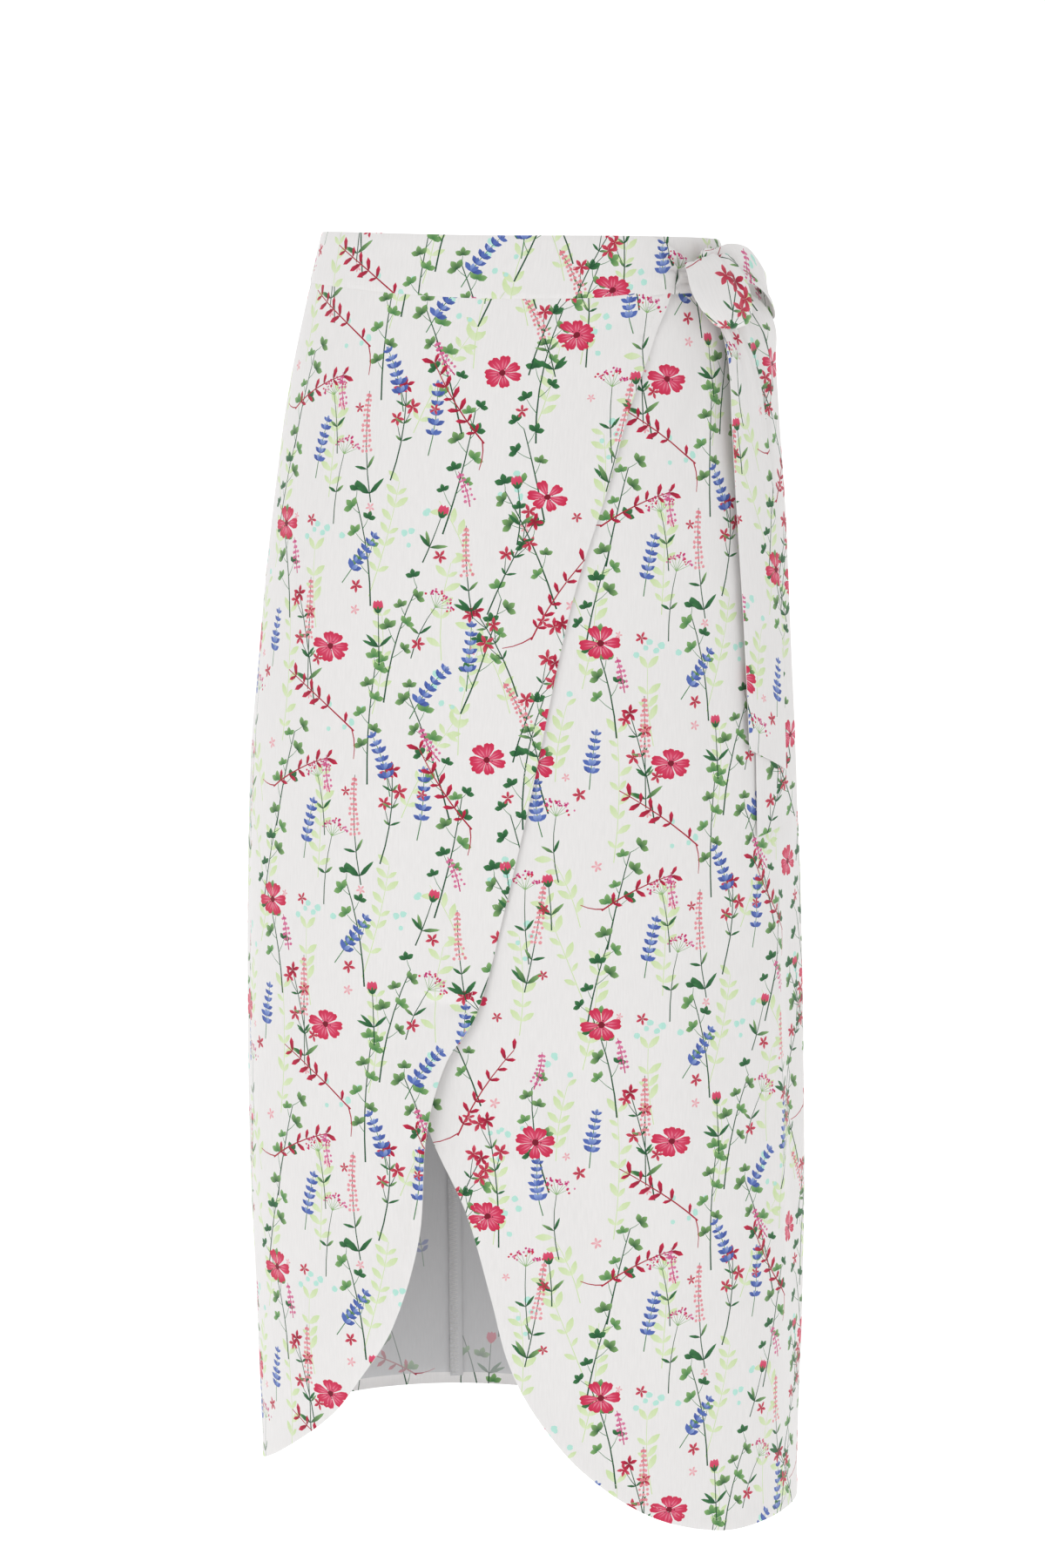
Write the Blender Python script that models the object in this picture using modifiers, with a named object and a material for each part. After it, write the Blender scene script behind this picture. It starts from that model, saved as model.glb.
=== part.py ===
"""A wrap skirt, filled out as it is worn: two crossed front panels with rounded hems, two back panels,
a shaped waistband, and its two ties knotted in a bow at the wearer's left hip.

Metres, +Z up. The origin is the middle of the waist, where the wearer holds the skirt up. The front
faces -Y, and the bow is at +X. A point on the cloth is given by its angle round the body, 0 at the
front and growing towards +X, its height, and how far out it stands from the form.
"""

import math
from collections import namedtuple

import bpy
from mathutils import Vector

MM = 0.001

CLOTH = 1.2 * MM
BAND_CLOTH = 1.8 * MM
TIE_CLOTH = 1.4 * MM
SEAM_GAP = 0.3 * MM

LEFT_SEAM = -95.0
RIGHT_SEAM = 95.0
BACK_SEAM = 194.0

# The waistband: its edges rise a little towards the sides, as a shaped band does on the body.
BAND_TOP = 12.6 * MM
BAND_TOP_RISE = {"left": 6.0 * MM, "right": 1.0 * MM}
BAND_FOOT = -28.5 * MM
BAND_FOOT_RISE = {"left": 13.8 * MM, "right": 9.0 * MM}
BAND_OUT = -0.3 * MM
UNDER_BAND_END = -62.0
OVER_BAND_END = 51.0
OVER_BAND_NARROWS = 37.0
OVER_BAND_TOP_DROP = 16.0 * MM

# The over panel lies on the under panel from here on, and its loose corner stands away from it.
OVER_OUT = 2.7 * MM
OVER_BAND_OUT = 2.4 * MM
OVER_CLEAR_BY = -70.0
CORNER_LIFT = 5.0 * MM

# Half widths and depths of the form that the inner face of the cloth lies on.
Section = namedtuple("Section", "height left right front back")
FORM = (
    Section(0.024, 0.1310, 0.1290, 0.0900, 0.0880),
    Section(0.000, 0.1368, 0.1345, 0.0935, 0.0925),
    Section(-0.025, 0.1430, 0.1425, 0.0970, 0.0990),
    Section(-0.060, 0.1508, 0.1530, 0.1020, 0.1080),
    Section(-0.100, 0.1582, 0.1620, 0.1065, 0.1150),
    Section(-0.150, 0.1650, 0.1700, 0.1110, 0.1210),
    Section(-0.200, 0.1710, 0.1750, 0.1145, 0.1235),
    Section(-0.260, 0.1770, 0.1795, 0.1170, 0.1240),
    Section(-0.330, 0.1833, 0.1838, 0.1190, 0.1235),
    Section(-0.420, 0.1860, 0.1872, 0.1205, 0.1225),
    Section(-0.520, 0.1869, 0.1898, 0.1210, 0.1215),
    Section(-0.620, 0.1858, 0.1912, 0.1210, 0.1205),
    Section(-0.720, 0.1815, 0.1910, 0.1205, 0.1195),
    Section(-0.800, 0.1786, 0.1894, 0.1200, 0.1185),
    Section(-0.870, 0.1776, 0.1892, 0.1195, 0.1180),
)
FORM_FILL = 0.03  # how far each section bulges past an ellipse, halfway between its axes

# The free edges of the two fronts, from the waistband down to the side seam.
EdgePoint = namedtuple("EdgePoint", "angle height")
OVER_EDGE = (
    EdgePoint(40.0, -0.0250),
    EdgePoint(34.5, -0.0470),
    EdgePoint(25.0, -0.0950),
    EdgePoint(19.0, -0.1450),
    EdgePoint(10.0, -0.2270),
    EdgePoint(1.0, -0.3600),
    EdgePoint(-3.0, -0.4170),
    EdgePoint(-9.0, -0.4930),
    EdgePoint(-15.0, -0.5260),
    EdgePoint(-18.5, -0.5720),
    EdgePoint(-20.5, -0.6440),
    EdgePoint(-26.5, -0.7040),
    EdgePoint(-34.5, -0.7410),
    EdgePoint(-43.0, -0.7700),
    EdgePoint(-58.0, -0.7975),
    EdgePoint(-75.0, -0.8150),
    EdgePoint(-89.0, -0.8230),
)
UNDER_EDGE = (
    EdgePoint(-61.0, -0.0180),
    EdgePoint(-50.0, -0.1900),
    EdgePoint(-40.0, -0.3300),
    EdgePoint(-31.0, -0.4400),
    EdgePoint(-19.0, -0.5720),
    EdgePoint(-11.5, -0.6260),
    EdgePoint(-6.5, -0.6830),
    EdgePoint(-3.0, -0.7260),
    EdgePoint(3.0, -0.7640),
    EdgePoint(12.5, -0.8020),
    EdgePoint(26.5, -0.8340),
    EdgePoint(43.0, -0.8490),
    EdgePoint(59.0, -0.8490),
    EdgePoint(79.0, -0.8480),
    EdgePoint(89.0, -0.8475),
)
BACK_HEM = (
    EdgePoint(95.0, -0.8470),
    EdgePoint(120.0, -0.8320),
    EdgePoint(150.0, -0.8150),
    EdgePoint(180.0, -0.8060),
    EdgePoint(210.0, -0.8020),
    EdgePoint(240.0, -0.8080),
    EdgePoint(265.0, -0.8230),
)
OVER_HEM_AT_SEAM = -0.8235
UNDER_HEM_AT_SEAM = -0.8470
OVER_ROW_FALL = 1.0
UNDER_ROW_FALL = 1.6  # the under panel's rows crowd towards the hem by this power
BAND_SHAPE_REACH = 0.25  # the share of a front's rows that still curve like the band's seam

# How finely each sheet is faceted.
FRONT_ROWS, FRONT_COLUMNS = 28, 20
BACK_ROWS, BACK_COLUMN_ANGLE = 22, 8.0
BAND_ROWS, BAND_COLUMNS = 2, 24
TAIL_ROWS = 16
LOOP_STEPS = 2
TIE_COLUMNS = 4

# The ties' free ends: a row across the tie at each height, its two edges by angle and stand-off.
TieRow = namedtuple("TieRow", "height left left_out right right_out")
FRONT_TAIL = (
    TieRow(-0.0214, 53.0, 4.0 * MM, 59.8, 4.2 * MM),
    TieRow(-0.0400, 54.0, 7.0 * MM, 62.0, 8.2 * MM),
    TieRow(-0.0600, 53.5, 9.5 * MM, 64.0, 11.5 * MM),
    TieRow(-0.0800, 52.0, 10.5 * MM, 65.0, 12.5 * MM),
    TieRow(-0.1100, 50.5, 9.5 * MM, 65.5, 11.0 * MM),
    TieRow(-0.1600, 49.8, 7.5 * MM, 66.0, 9.0 * MM),
    TieRow(-0.2500, 50.3, 6.0 * MM, 66.0, 7.5 * MM),
    TieRow(-0.3310, 50.5, 5.5 * MM, 65.5, 6.5 * MM),
)
FRONT_TAIL_SLANT = 16.0 * MM
SIDE_TAIL = (
    TieRow(-0.0214, 61.5, 3.4 * MM, 69.0, 4.0 * MM),
    TieRow(-0.0360, 62.5, 4.6 * MM, 75.0, 9.0 * MM),
    TieRow(-0.0500, 60.0, 6.0 * MM, 83.0, 16.0 * MM),
    TieRow(-0.0700, 59.5, 6.0 * MM, 82.0, 14.0 * MM),
    TieRow(-0.1100, 57.5, 4.5 * MM, 79.0, 11.0 * MM),
    TieRow(-0.1600, 55.5, 3.2 * MM, 76.5, 8.5 * MM),
    TieRow(-0.2500, 54.5, 2.6 * MM, 74.5, 6.5 * MM),
    TieRow(-0.3760, 53.5, 2.6 * MM, 73.5, 6.0 * MM),
)
SIDE_TAIL_SLANT = -12.0 * MM

# The bow's loops: a row across the tie at each station on its way out of the knot and back.
LoopRow = namedtuple("LoopRow", "angle1 height1 out1 angle2 height2 out2")
HANGING_LOOP = (
    LoopRow(47.0, -0.0060, 12.8 * MM, 60.5, 0.0015, 13.6 * MM),
    LoopRow(43.0, -0.0050, 16.0 * MM, 61.0, 0.0020, 18.0 * MM),
    LoopRow(42.0, -0.0130, 18.0 * MM, 62.5, -0.0070, 22.0 * MM),
    LoopRow(41.5, -0.0240, 20.0 * MM, 63.0, -0.0220, 24.0 * MM),
    LoopRow(44.5, -0.0370, 18.0 * MM, 62.5, -0.0370, 21.0 * MM),
    LoopRow(49.5, -0.0455, 14.0 * MM, 61.5, -0.0435, 16.5 * MM),
    LoopRow(53.0, -0.0390, 10.5 * MM, 61.0, -0.0380, 12.5 * MM),
    LoopRow(52.5, -0.0280, 10.0 * MM, 60.5, -0.0270, 12.0 * MM),
)
SIDE_LOOP = (
    LoopRow(60.3, 0.0050, 8.0 * MM, 60.8, -0.0100, 8.5 * MM),
    LoopRow(65.0, 0.0095, 16.0 * MM, 66.5, -0.0150, 18.0 * MM),
    LoopRow(70.5, 0.0070, 24.0 * MM, 72.0, -0.0200, 24.0 * MM),
    LoopRow(77.0, -0.0045, 27.0 * MM, 78.5, -0.0315, 26.0 * MM),
    LoopRow(83.0, -0.0120, 25.5 * MM, 84.0, -0.0390, 22.5 * MM),
    LoopRow(83.0, -0.0120, 18.5 * MM, 84.0, -0.0370, 16.5 * MM),
    LoopRow(76.5, -0.0060, 12.0 * MM, 78.0, -0.0280, 11.5 * MM),
    LoopRow(69.0, -0.0010, 8.0 * MM, 70.5, -0.0200, 8.0 * MM),
    LoopRow(62.5, 0.0000, 5.5 * MM, 64.0, -0.0150, 5.5 * MM),
)

# The knot: a rounded bundle on the waistband, by its centre on the form and its three half sizes.
KNOT_ANGLE = 56.0
KNOT_HEIGHT = -0.0090
KNOT_OUT = 6.9 * MM
KNOT_HALF = Vector((11.0 * MM, 4.2 * MM, 14.5 * MM))

# A flat tint for each piece, so that the pieces are told apart.
TINTS = {
    "front_over": (0.80, 0.72, 0.70, 1.0),
    "front_under": (0.74, 0.78, 0.70, 1.0),
    "back_left": (0.70, 0.74, 0.72, 1.0),
    "back_right": (0.66, 0.72, 0.70, 1.0),
    "waistband_over": (0.82, 0.66, 0.66, 1.0),
    "waistband_back": (0.62, 0.72, 0.60, 1.0),
    "waistband_under": (0.60, 0.68, 0.78, 1.0),
    "tie_knot": (0.75, 0.30, 0.36, 1.0),
    "bow_loop_hanging": (0.80, 0.45, 0.50, 1.0),
    "bow_loop_side": (0.50, 0.60, 0.78, 1.0),
    "tie_tail_front": (0.70, 0.80, 0.62, 1.0),
    "tie_tail_side": (0.62, 0.66, 0.84, 1.0),
}


def clear_scene():
    for old in list(bpy.data.objects):
        bpy.data.objects.remove(old)


def smooth(t):
    t = max(0.0, min(1.0, t))
    return t * t * (3.0 - 2.0 * t)


def through(rows, keys, at):
    """The rows' other columns at this value of their first, on a smooth curve through them."""
    rising = keys[-1] > keys[0]
    at = max(min(keys), min(max(keys), at))
    k = 0
    while k < len(keys) - 2 and (at > keys[k + 1] if rising else at < keys[k + 1]):
        k += 1
    span = keys[k + 1] - keys[k]
    t = (at - keys[k]) / span

    def slope(i, column):
        low, high = max(i - 1, 0), min(i + 1, len(keys) - 1)
        return (rows[high][column] - rows[low][column]) / (keys[high] - keys[low]) * span

    return [
        (2 * t**3 - 3 * t**2 + 1) * rows[k][column]
        + (t**3 - 2 * t**2 + t) * slope(k, column)
        + (3 * t**2 - 2 * t**3) * rows[k + 1][column]
        + (t**3 - t**2) * slope(k + 1, column)
        for column in range(len(rows[0]))
    ]


def on_form(angle, height, out=0.0):
    """The point at this angle, height and stand-off from the form."""
    section = Section(*through(FORM, [row.height for row in FORM], height))
    across, ahead = math.sin(math.radians(angle)), math.cos(math.radians(angle))
    fill = 1.0 + FORM_FILL * math.sin(math.radians(2.0 * angle)) ** 2
    half_width = section.left if across < 0 else section.right
    half_depth = section.front if ahead > 0 else section.back
    return Vector((across * (half_width * fill + out), -ahead * (half_depth * fill + out), height))


def band_line(angle, middle, rise):
    side = "left" if math.sin(math.radians(angle)) < 0 else "right"
    return middle + rise[side] * math.sin(math.radians(angle)) ** 2


def band_top(angle):
    return band_line(angle, BAND_TOP, BAND_TOP_RISE)


def band_foot(angle):
    return band_line(angle, BAND_FOOT, BAND_FOOT_RISE)


def panel_top(angle):
    return band_foot(angle) - SEAM_GAP


def seam_inset():
    """The angle that leaves half a seam's gap on each side of it."""
    return math.degrees(SEAM_GAP / 2 / FORM[0].left)


def edge_at(edge, fraction):
    """The point this far along a free edge, measured over the cloth."""
    lengths = [0.0]
    for a, b in zip(edge, edge[1:]):
        step = on_form(b.angle, b.height) - on_form(a.angle, a.height)
        lengths.append(lengths[-1] + step.length)
    return EdgePoint(*through(edge, lengths, fraction * lengths[-1]))


def over_out(angle, down, across):
    """Stand-off of the over panel: clear of the under panel, and loose at its lower corner."""
    layer = OVER_OUT * smooth((angle - LEFT_SEAM) / (OVER_CLEAR_BY - LEFT_SEAM))
    near_edge = smooth((across - 0.6) / 0.4)
    low_down = smooth((down - 0.45) / 0.3) * (1.0 - smooth((down - 0.8) / 0.2))
    return layer + CORNER_LIFT * near_edge * low_down


def mix(a, b, t):
    return a + (b - a) * t


def front_grid(edge, seam_angle, hem_at_seam, row_fall, out_at):
    """Rows from the side seam to points evenly spaced along the free edge."""
    rows, columns = FRONT_ROWS, FRONT_COLUMNS
    grid = []
    for i in range(rows + 1):
        down = i / rows
        free = edge_at(edge, down)
        seam_height = mix(panel_top(seam_angle), hem_at_seam, 1.0 - (1.0 - down) ** row_fall)
        like_band = 1.0 - smooth(down / BAND_SHAPE_REACH)
        row = []
        for j in range(columns + 1):
            across = j / columns
            angle = mix(seam_angle, free.angle, across)
            band_curve = panel_top(angle) - mix(panel_top(seam_angle), edge[0].height, across)
            height = mix(seam_height, free.height, across) + like_band * band_curve
            row.append(on_form(angle, height, out_at(angle, down, across)))
        grid.append(row)
    return grid


def back_grid(start, end):
    """Columns from the waistband down to the back hem."""
    rows, columns = BACK_ROWS, round((end - start) / BACK_COLUMN_ANGLE)
    hem_angles = [point.angle for point in BACK_HEM]
    grid = []
    for i in range(rows + 1):
        row = []
        for j in range(columns + 1):
            angle = start + (end - start) * j / columns
            hem = EdgePoint(*through(BACK_HEM, hem_angles, angle)).height
            row.append(on_form(angle, panel_top(angle) + (hem - panel_top(angle)) * i / rows))
        grid.append(row)
    return grid


def band_grid(start, end, out_at, top_at=band_top):
    """Rows along the band, from its upper edge to its seam with the panels."""
    angles = [mix(start, end, j / BAND_COLUMNS) for j in range(BAND_COLUMNS + 1)]
    return [
        [on_form(a, mix(top_at(a), band_foot(a), i / BAND_ROWS), out_at(a)) for a in angles]
        for i in range(BAND_ROWS + 1)
    ]


def over_band_top(angle):
    """The over band's upper edge, drawn down to the knot where the tie is pulled tight."""
    drawn = smooth((angle - OVER_BAND_NARROWS) / (OVER_BAND_END - OVER_BAND_NARROWS))
    return band_top(angle) - OVER_BAND_TOP_DROP * drawn


def on_body(angle, down, across):
    """Stand-off of a panel that lies on the body all over."""
    return 0.0


def band_out(angle):
    """Stand-off of the thicker band, so that it shows as a step on both faces of the panels."""
    return BAND_OUT


def over_band_out(angle):
    return OVER_BAND_OUT * smooth((angle - LEFT_SEAM) / (OVER_CLEAR_BY - LEFT_SEAM))


def tail_grid(table, slant):
    """A hanging tie end, cut off at a slant: the slant lowers its right edge, or its left one."""
    heights = [row.height for row in table]
    grid = []
    for i in range(TAIL_ROWS + 1):
        down = i / TAIL_ROWS
        height = mix(heights[0], heights[-1], down)
        edges = TieRow(*through(table, heights, height))
        row = []
        for j in range(TIE_COLUMNS + 1):
            across = j / TIE_COLUMNS
            slanted = height - slant * (across - 0.5) * smooth(2.0 * down - 1.0)
            out = mix(edges.left_out, edges.right_out, across)
            row.append(on_form(mix(edges.left, edges.right, across), slanted, out))
        grid.append(row)
    return grid


def loop_grid(table):
    """A loop of the bow: the tie's two edges, joined by straight rows."""
    stations = list(range(len(table)))
    grid = []
    for i in range((len(table) - 1) * LOOP_STEPS + 1):
        edges = LoopRow(*through(table, stations, i / LOOP_STEPS))
        first = on_form(edges.angle1, edges.height1, edges.out1)
        second = on_form(edges.angle2, edges.height2, edges.out2)
        grid.append([first.lerp(second, j / TIE_COLUMNS) for j in range(TIE_COLUMNS + 1)])
    return grid


def cloth_material(name):
    material = bpy.data.materials.new(name + "_cloth")
    material.use_nodes = True
    shader = material.node_tree.nodes["Principled BSDF"]
    shader.inputs["Base Color"].default_value = TINTS[name]
    shader.inputs["Roughness"].default_value = 0.8
    shader.inputs["Metallic"].default_value = 0.0
    return material


def add_object(name, mesh, parent, collection):
    mesh.materials.append(cloth_material(name))
    mesh.shade_smooth()
    piece = bpy.data.objects.new(name, mesh)
    piece.parent = parent
    collection.objects.link(piece)
    return piece


def add_sheet(name, grid, thickness, side, parent, collection):
    """Cloth as an open surface with a wall: side 1 thickens it outwards, and 0 both ways."""
    columns = len(grid[0])
    faces = [
        (i * columns + j, (i + 1) * columns + j, (i + 1) * columns + j + 1, i * columns + j + 1)
        for i in range(len(grid) - 1)
        for j in range(columns - 1)
    ]
    mesh = bpy.data.meshes.new(name)
    mesh.from_pydata([point for row in grid for point in row], [], faces)
    piece = add_object(name, mesh, parent, collection)
    wall = piece.modifiers.new("wall", "SOLIDIFY")
    wall.thickness = thickness
    wall.offset = side
    return piece


def add_knot(parent, collection):
    """The knot is a soft bundle, from a coarse cage."""
    bpy.ops.mesh.primitive_cube_add(size=2.0)
    piece = bpy.context.object
    piece.name = "tie_knot"
    for user in list(piece.users_collection):
        user.objects.unlink(piece)
    collection.objects.link(piece)
    along = on_form(KNOT_ANGLE + 1.0, KNOT_HEIGHT) - on_form(KNOT_ANGLE - 1.0, KNOT_HEIGHT)
    for vertex in piece.data.vertices:
        vertex.co = Vector(a * b for a, b in zip(vertex.co, KNOT_HALF))
    piece.data.materials.append(cloth_material("tie_knot"))
    piece.data.shade_smooth()
    piece.location = on_form(KNOT_ANGLE, KNOT_HEIGHT, KNOT_OUT)
    piece.rotation_euler = (0.0, 0.0, math.atan2(along.y, along.x))
    piece.parent = parent
    soft = piece.modifiers.new("soft", "SUBSURF")
    soft.levels = 2
    soft.render_levels = 2
    return piece


def build():
    clear_scene()
    collection = bpy.data.collections.new("wrap_skirt")
    bpy.context.scene.collection.children.link(collection)
    waist = bpy.data.objects.new("waist", None)
    collection.objects.link(waist)

    inset = seam_inset()
    back_end = 360.0 + LEFT_SEAM - inset
    sheets = {
        "back_right": (back_grid(BACK_SEAM + inset, back_end), CLOTH, 1),
        "back_left": (back_grid(RIGHT_SEAM + inset, BACK_SEAM - inset), CLOTH, 1),
        "front_under": (
            front_grid(UNDER_EDGE, RIGHT_SEAM - inset, UNDER_HEM_AT_SEAM, UNDER_ROW_FALL, on_body),
            CLOTH,
            1,
        ),
        "front_over": (
            front_grid(OVER_EDGE, LEFT_SEAM + inset, OVER_HEM_AT_SEAM, OVER_ROW_FALL, over_out),
            CLOTH,
            1,
        ),
        "waistband_back": (band_grid(RIGHT_SEAM + inset, back_end, band_out), BAND_CLOTH, 1),
        "waistband_under": (band_grid(UNDER_BAND_END, RIGHT_SEAM - inset, band_out), BAND_CLOTH, 1),
        "waistband_over": (
            band_grid(LEFT_SEAM + inset, OVER_BAND_END, over_band_out, over_band_top),
            BAND_CLOTH,
            1,
        ),
        "bow_loop_hanging": (loop_grid(HANGING_LOOP), TIE_CLOTH, 0),
        "bow_loop_side": (loop_grid(SIDE_LOOP), TIE_CLOTH, 0),
        "tie_tail_front": (tail_grid(FRONT_TAIL, FRONT_TAIL_SLANT), TIE_CLOTH, 0),
        "tie_tail_side": (tail_grid(SIDE_TAIL, SIDE_TAIL_SLANT), TIE_CLOTH, 0),
    }
    for name, (grid, thickness, side) in sheets.items():
        add_sheet(name, grid, thickness, side, waist, collection)
    add_knot(waist, collection)


build()
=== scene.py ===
"""A wrap skirt of printed viscose, filled out as it is worn: crossed fronts with rounded hems, two
backs, a shaped waistband, and its ties knotted in a bow at the wearer's left hip.

Metres, +Z up, the front faces -Y. A point on the cloth is given by its angle round the body, 0 at
the front and growing towards +X, its height, and how far out it stands.
"""

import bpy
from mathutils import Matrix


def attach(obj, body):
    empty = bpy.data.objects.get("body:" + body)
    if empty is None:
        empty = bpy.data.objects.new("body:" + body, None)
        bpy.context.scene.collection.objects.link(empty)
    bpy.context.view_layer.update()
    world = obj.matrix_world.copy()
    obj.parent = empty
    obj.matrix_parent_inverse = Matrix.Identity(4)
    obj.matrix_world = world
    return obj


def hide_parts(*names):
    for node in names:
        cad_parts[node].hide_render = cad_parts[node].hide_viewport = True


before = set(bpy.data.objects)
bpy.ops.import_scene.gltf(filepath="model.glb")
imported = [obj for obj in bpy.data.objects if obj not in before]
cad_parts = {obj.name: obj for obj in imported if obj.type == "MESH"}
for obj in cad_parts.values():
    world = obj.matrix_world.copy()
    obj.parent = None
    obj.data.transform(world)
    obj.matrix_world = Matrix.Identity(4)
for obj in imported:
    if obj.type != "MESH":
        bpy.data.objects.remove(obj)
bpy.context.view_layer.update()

import math
import random
from collections import namedtuple

import bpy
import numpy as np
from mathutils import Vector
from mathutils.geometry import delaunay_2d_cdt

MM = 0.001
scene = bpy.context.scene


# ------------------------------------------------------------
# Camera: in front of the skirt and a little above its middle, on a long lens, upright format.
# ------------------------------------------------------------
CAMERA_PLACE = (0.0, -2.5, -0.10)
CAMERA_AIM = (0.0, 0.0, -0.354)
CAMERA_LENS, CAMERA_FILM, CAMERA_SEES = 84.47, 36.0, 60.0


def shown_at(name, data, place, aim):
    """Sets a camera or a lamp in the scene, turned towards its aim."""
    thing = bpy.data.objects.new(name, data)
    thing.location = place
    thing.rotation_euler = (Vector(aim) - Vector(place)).to_track_quat("-Z", "Y").to_euler()
    scene.collection.objects.link(thing)
    return thing


camera_data = bpy.data.cameras.new("camera")
camera_data.lens = CAMERA_LENS
camera_data.sensor_width = CAMERA_FILM
camera_data.clip_end = CAMERA_SEES
scene.camera = shown_at("camera", camera_data, CAMERA_PLACE, CAMERA_AIM)


# ------------------------------------------------------------
# Studio: a white floor that curves up into a white wall, wide soft lights from the front and both
# sides, and an even white surround. The floor lies well below the hem, as under a worn skirt.
# ------------------------------------------------------------
FLOOR_HEIGHT = -1.25
FLOOR_FRONT, FLOOR_BACK, FLOOR_HALF_WIDTH = -7.0, 3.4, 7.0
WALL_TOP = 5.0
COVE_RADIUS = 1.6
COVE_STEPS = 16
SURROUND_LIGHT = 0.54
WHITE = (1.0, 1.0, 1.0, 1.0)
PAPER_FINISH = {
    "Base Color": (0.93, 0.93, 0.93, 1.0), "Roughness": 0.9,
    "Emission Color": WHITE, "Emission Strength": 0.45,
}
SoftLight = namedtuple("SoftLight", "name place aim size watts")
LIGHTS = (
    SoftLight("key_light", (-1.9, -2.6, 1.5), (0.0, 0.0, -0.35), 1.6, 20.0),
    SoftLight("fill_light", (2.4, -2.2, 0.3), (0.0, 0.0, -0.45), 1.8, 5.0),
    SoftLight("top_light", (0.2, -0.4, 2.6), (0.0, 0.0, -0.30), 1.5, 7.0),
)



def started_material(name, finish):
    """A material with its shader's plain settings, and ways to add nodes to it and to link them."""
    material = bpy.data.materials.new(name)
    material.use_nodes = True
    nodes = material.node_tree.nodes
    shader = nodes["Principled BSDF"]
    for socket, value in finish.items():
        shader.inputs[socket].default_value = value

    def add(kind, **settings):
        node = nodes.new("ShaderNode" + kind)
        for socket, value in settings.items():
            node.inputs[socket.replace("_", " ")].default_value = value
        return node

    return material, shader, add, material.node_tree.links.new


profile = [(FLOOR_FRONT, FLOOR_HEIGHT)]
for k in range(COVE_STEPS + 1):
    turn = math.pi / 2 * k / COVE_STEPS
    profile.append((
        FLOOR_BACK - COVE_RADIUS + COVE_RADIUS * math.sin(turn),
        FLOOR_HEIGHT + COVE_RADIUS * (1.0 - math.cos(turn)),
    ))
profile.append((FLOOR_BACK, WALL_TOP))
backdrop_mesh = bpy.data.meshes.new("backdrop")
backdrop_mesh.from_pydata(
    [(side * FLOOR_HALF_WIDTH, y, z) for y, z in profile for side in (-1, 1)],
    [],
    [(2 * k, 2 * k + 1, 2 * k + 3, 2 * k + 2) for k in range(len(profile) - 1)],
)
backdrop_mesh.shade_smooth()
backdrop = bpy.data.objects.new("backdrop", backdrop_mesh)
scene.collection.objects.link(backdrop)
backdrop_mesh.materials.append(started_material("studio_paper", PAPER_FINISH)[0])

for light in LIGHTS:
    lamp = bpy.data.lights.new(light.name, "AREA")
    lamp.shape = "DISK"
    lamp.size = light.size
    lamp.energy = light.watts
    shown_at(light.name, lamp, light.place, light.aim)

surround = bpy.data.worlds.new("surround")
surround.use_nodes = True
sky = surround.node_tree.nodes["Background"].inputs
sky["Color"].default_value = WHITE
sky["Strength"].default_value = SURROUND_LIGHT
scene.world = surround
scene.view_settings.view_transform = "Standard"


# ------------------------------------------------------------
# The filled-out form that the cloth lies on: half widths and depths of the waist, hips and legs,
# and the lines on it along which the cloth is cut, seamed and hemmed.
# ------------------------------------------------------------
Section = namedtuple("Section", "height left right front back")
FORM = (
    Section(0.024, 0.1310, 0.1290, 0.0900, 0.0880),
    Section(0.000, 0.1368, 0.1345, 0.0935, 0.0925),
    Section(-0.025, 0.1430, 0.1425, 0.0970, 0.0990),
    Section(-0.060, 0.1508, 0.1530, 0.1020, 0.1080),
    Section(-0.100, 0.1582, 0.1620, 0.1065, 0.1150),
    Section(-0.150, 0.1650, 0.1700, 0.1110, 0.1210),
    Section(-0.200, 0.1710, 0.1750, 0.1145, 0.1235),
    Section(-0.260, 0.1770, 0.1795, 0.1170, 0.1240),
    Section(-0.330, 0.1833, 0.1838, 0.1190, 0.1235),
    Section(-0.420, 0.1860, 0.1872, 0.1205, 0.1225),
    Section(-0.520, 0.1869, 0.1898, 0.1210, 0.1215),
    Section(-0.620, 0.1858, 0.1912, 0.1210, 0.1205),
    Section(-0.720, 0.1815, 0.1910, 0.1205, 0.1195),
    Section(-0.800, 0.1786, 0.1894, 0.1200, 0.1185),
    Section(-0.870, 0.1776, 0.1892, 0.1195, 0.1180),
)
FORM_FILL = 0.03  # how far each section bulges past an ellipse, halfway between its axes
LEFT_SEAM, RIGHT_SEAM, BACK_SEAM, FULL_TURN = -95.0, 95.0, 194.0, 360.0
BAND_TOP, BAND_TOP_RISE = 12.6 * MM, {"left": 6.0 * MM, "right": 1.0 * MM}
BAND_FOOT, BAND_FOOT_RISE = -28.5 * MM, {"left": 13.8 * MM, "right": 9.0 * MM}


def smooth(t):
    t = np.clip(t, 0.0, 1.0)
    return t * t * (3.0 - 2.0 * t)


def through(keys, rows, at):
    """The rows' values on a smooth curve through them, where the keys rise or fall to these."""
    keys, rows = np.asarray(keys, float), np.asarray(rows, float)
    if keys[0] > keys[-1]:
        keys, rows = keys[::-1], rows[::-1]
    at = np.clip(at, keys[0], keys[-1])
    k = np.clip(np.searchsorted(keys, at) - 1, 0, len(keys) - 2)
    order = np.arange(len(keys))
    low, high = np.maximum(order - 1, 0), np.minimum(order + 1, len(keys) - 1)
    slopes = (rows[high] - rows[low]) / (keys[high] - keys[low])[:, None]
    span = (keys[k + 1] - keys[k])[..., None]
    t = (at - keys[k])[..., None] / span
    return (
        (2 * t**3 - 3 * t**2 + 1) * rows[k]
        + (t**3 - 2 * t**2 + t) * slopes[k] * span
        + (3 * t**2 - 2 * t**3) * rows[k + 1]
        + (t**3 - t**2) * slopes[k + 1] * span
    )


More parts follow.
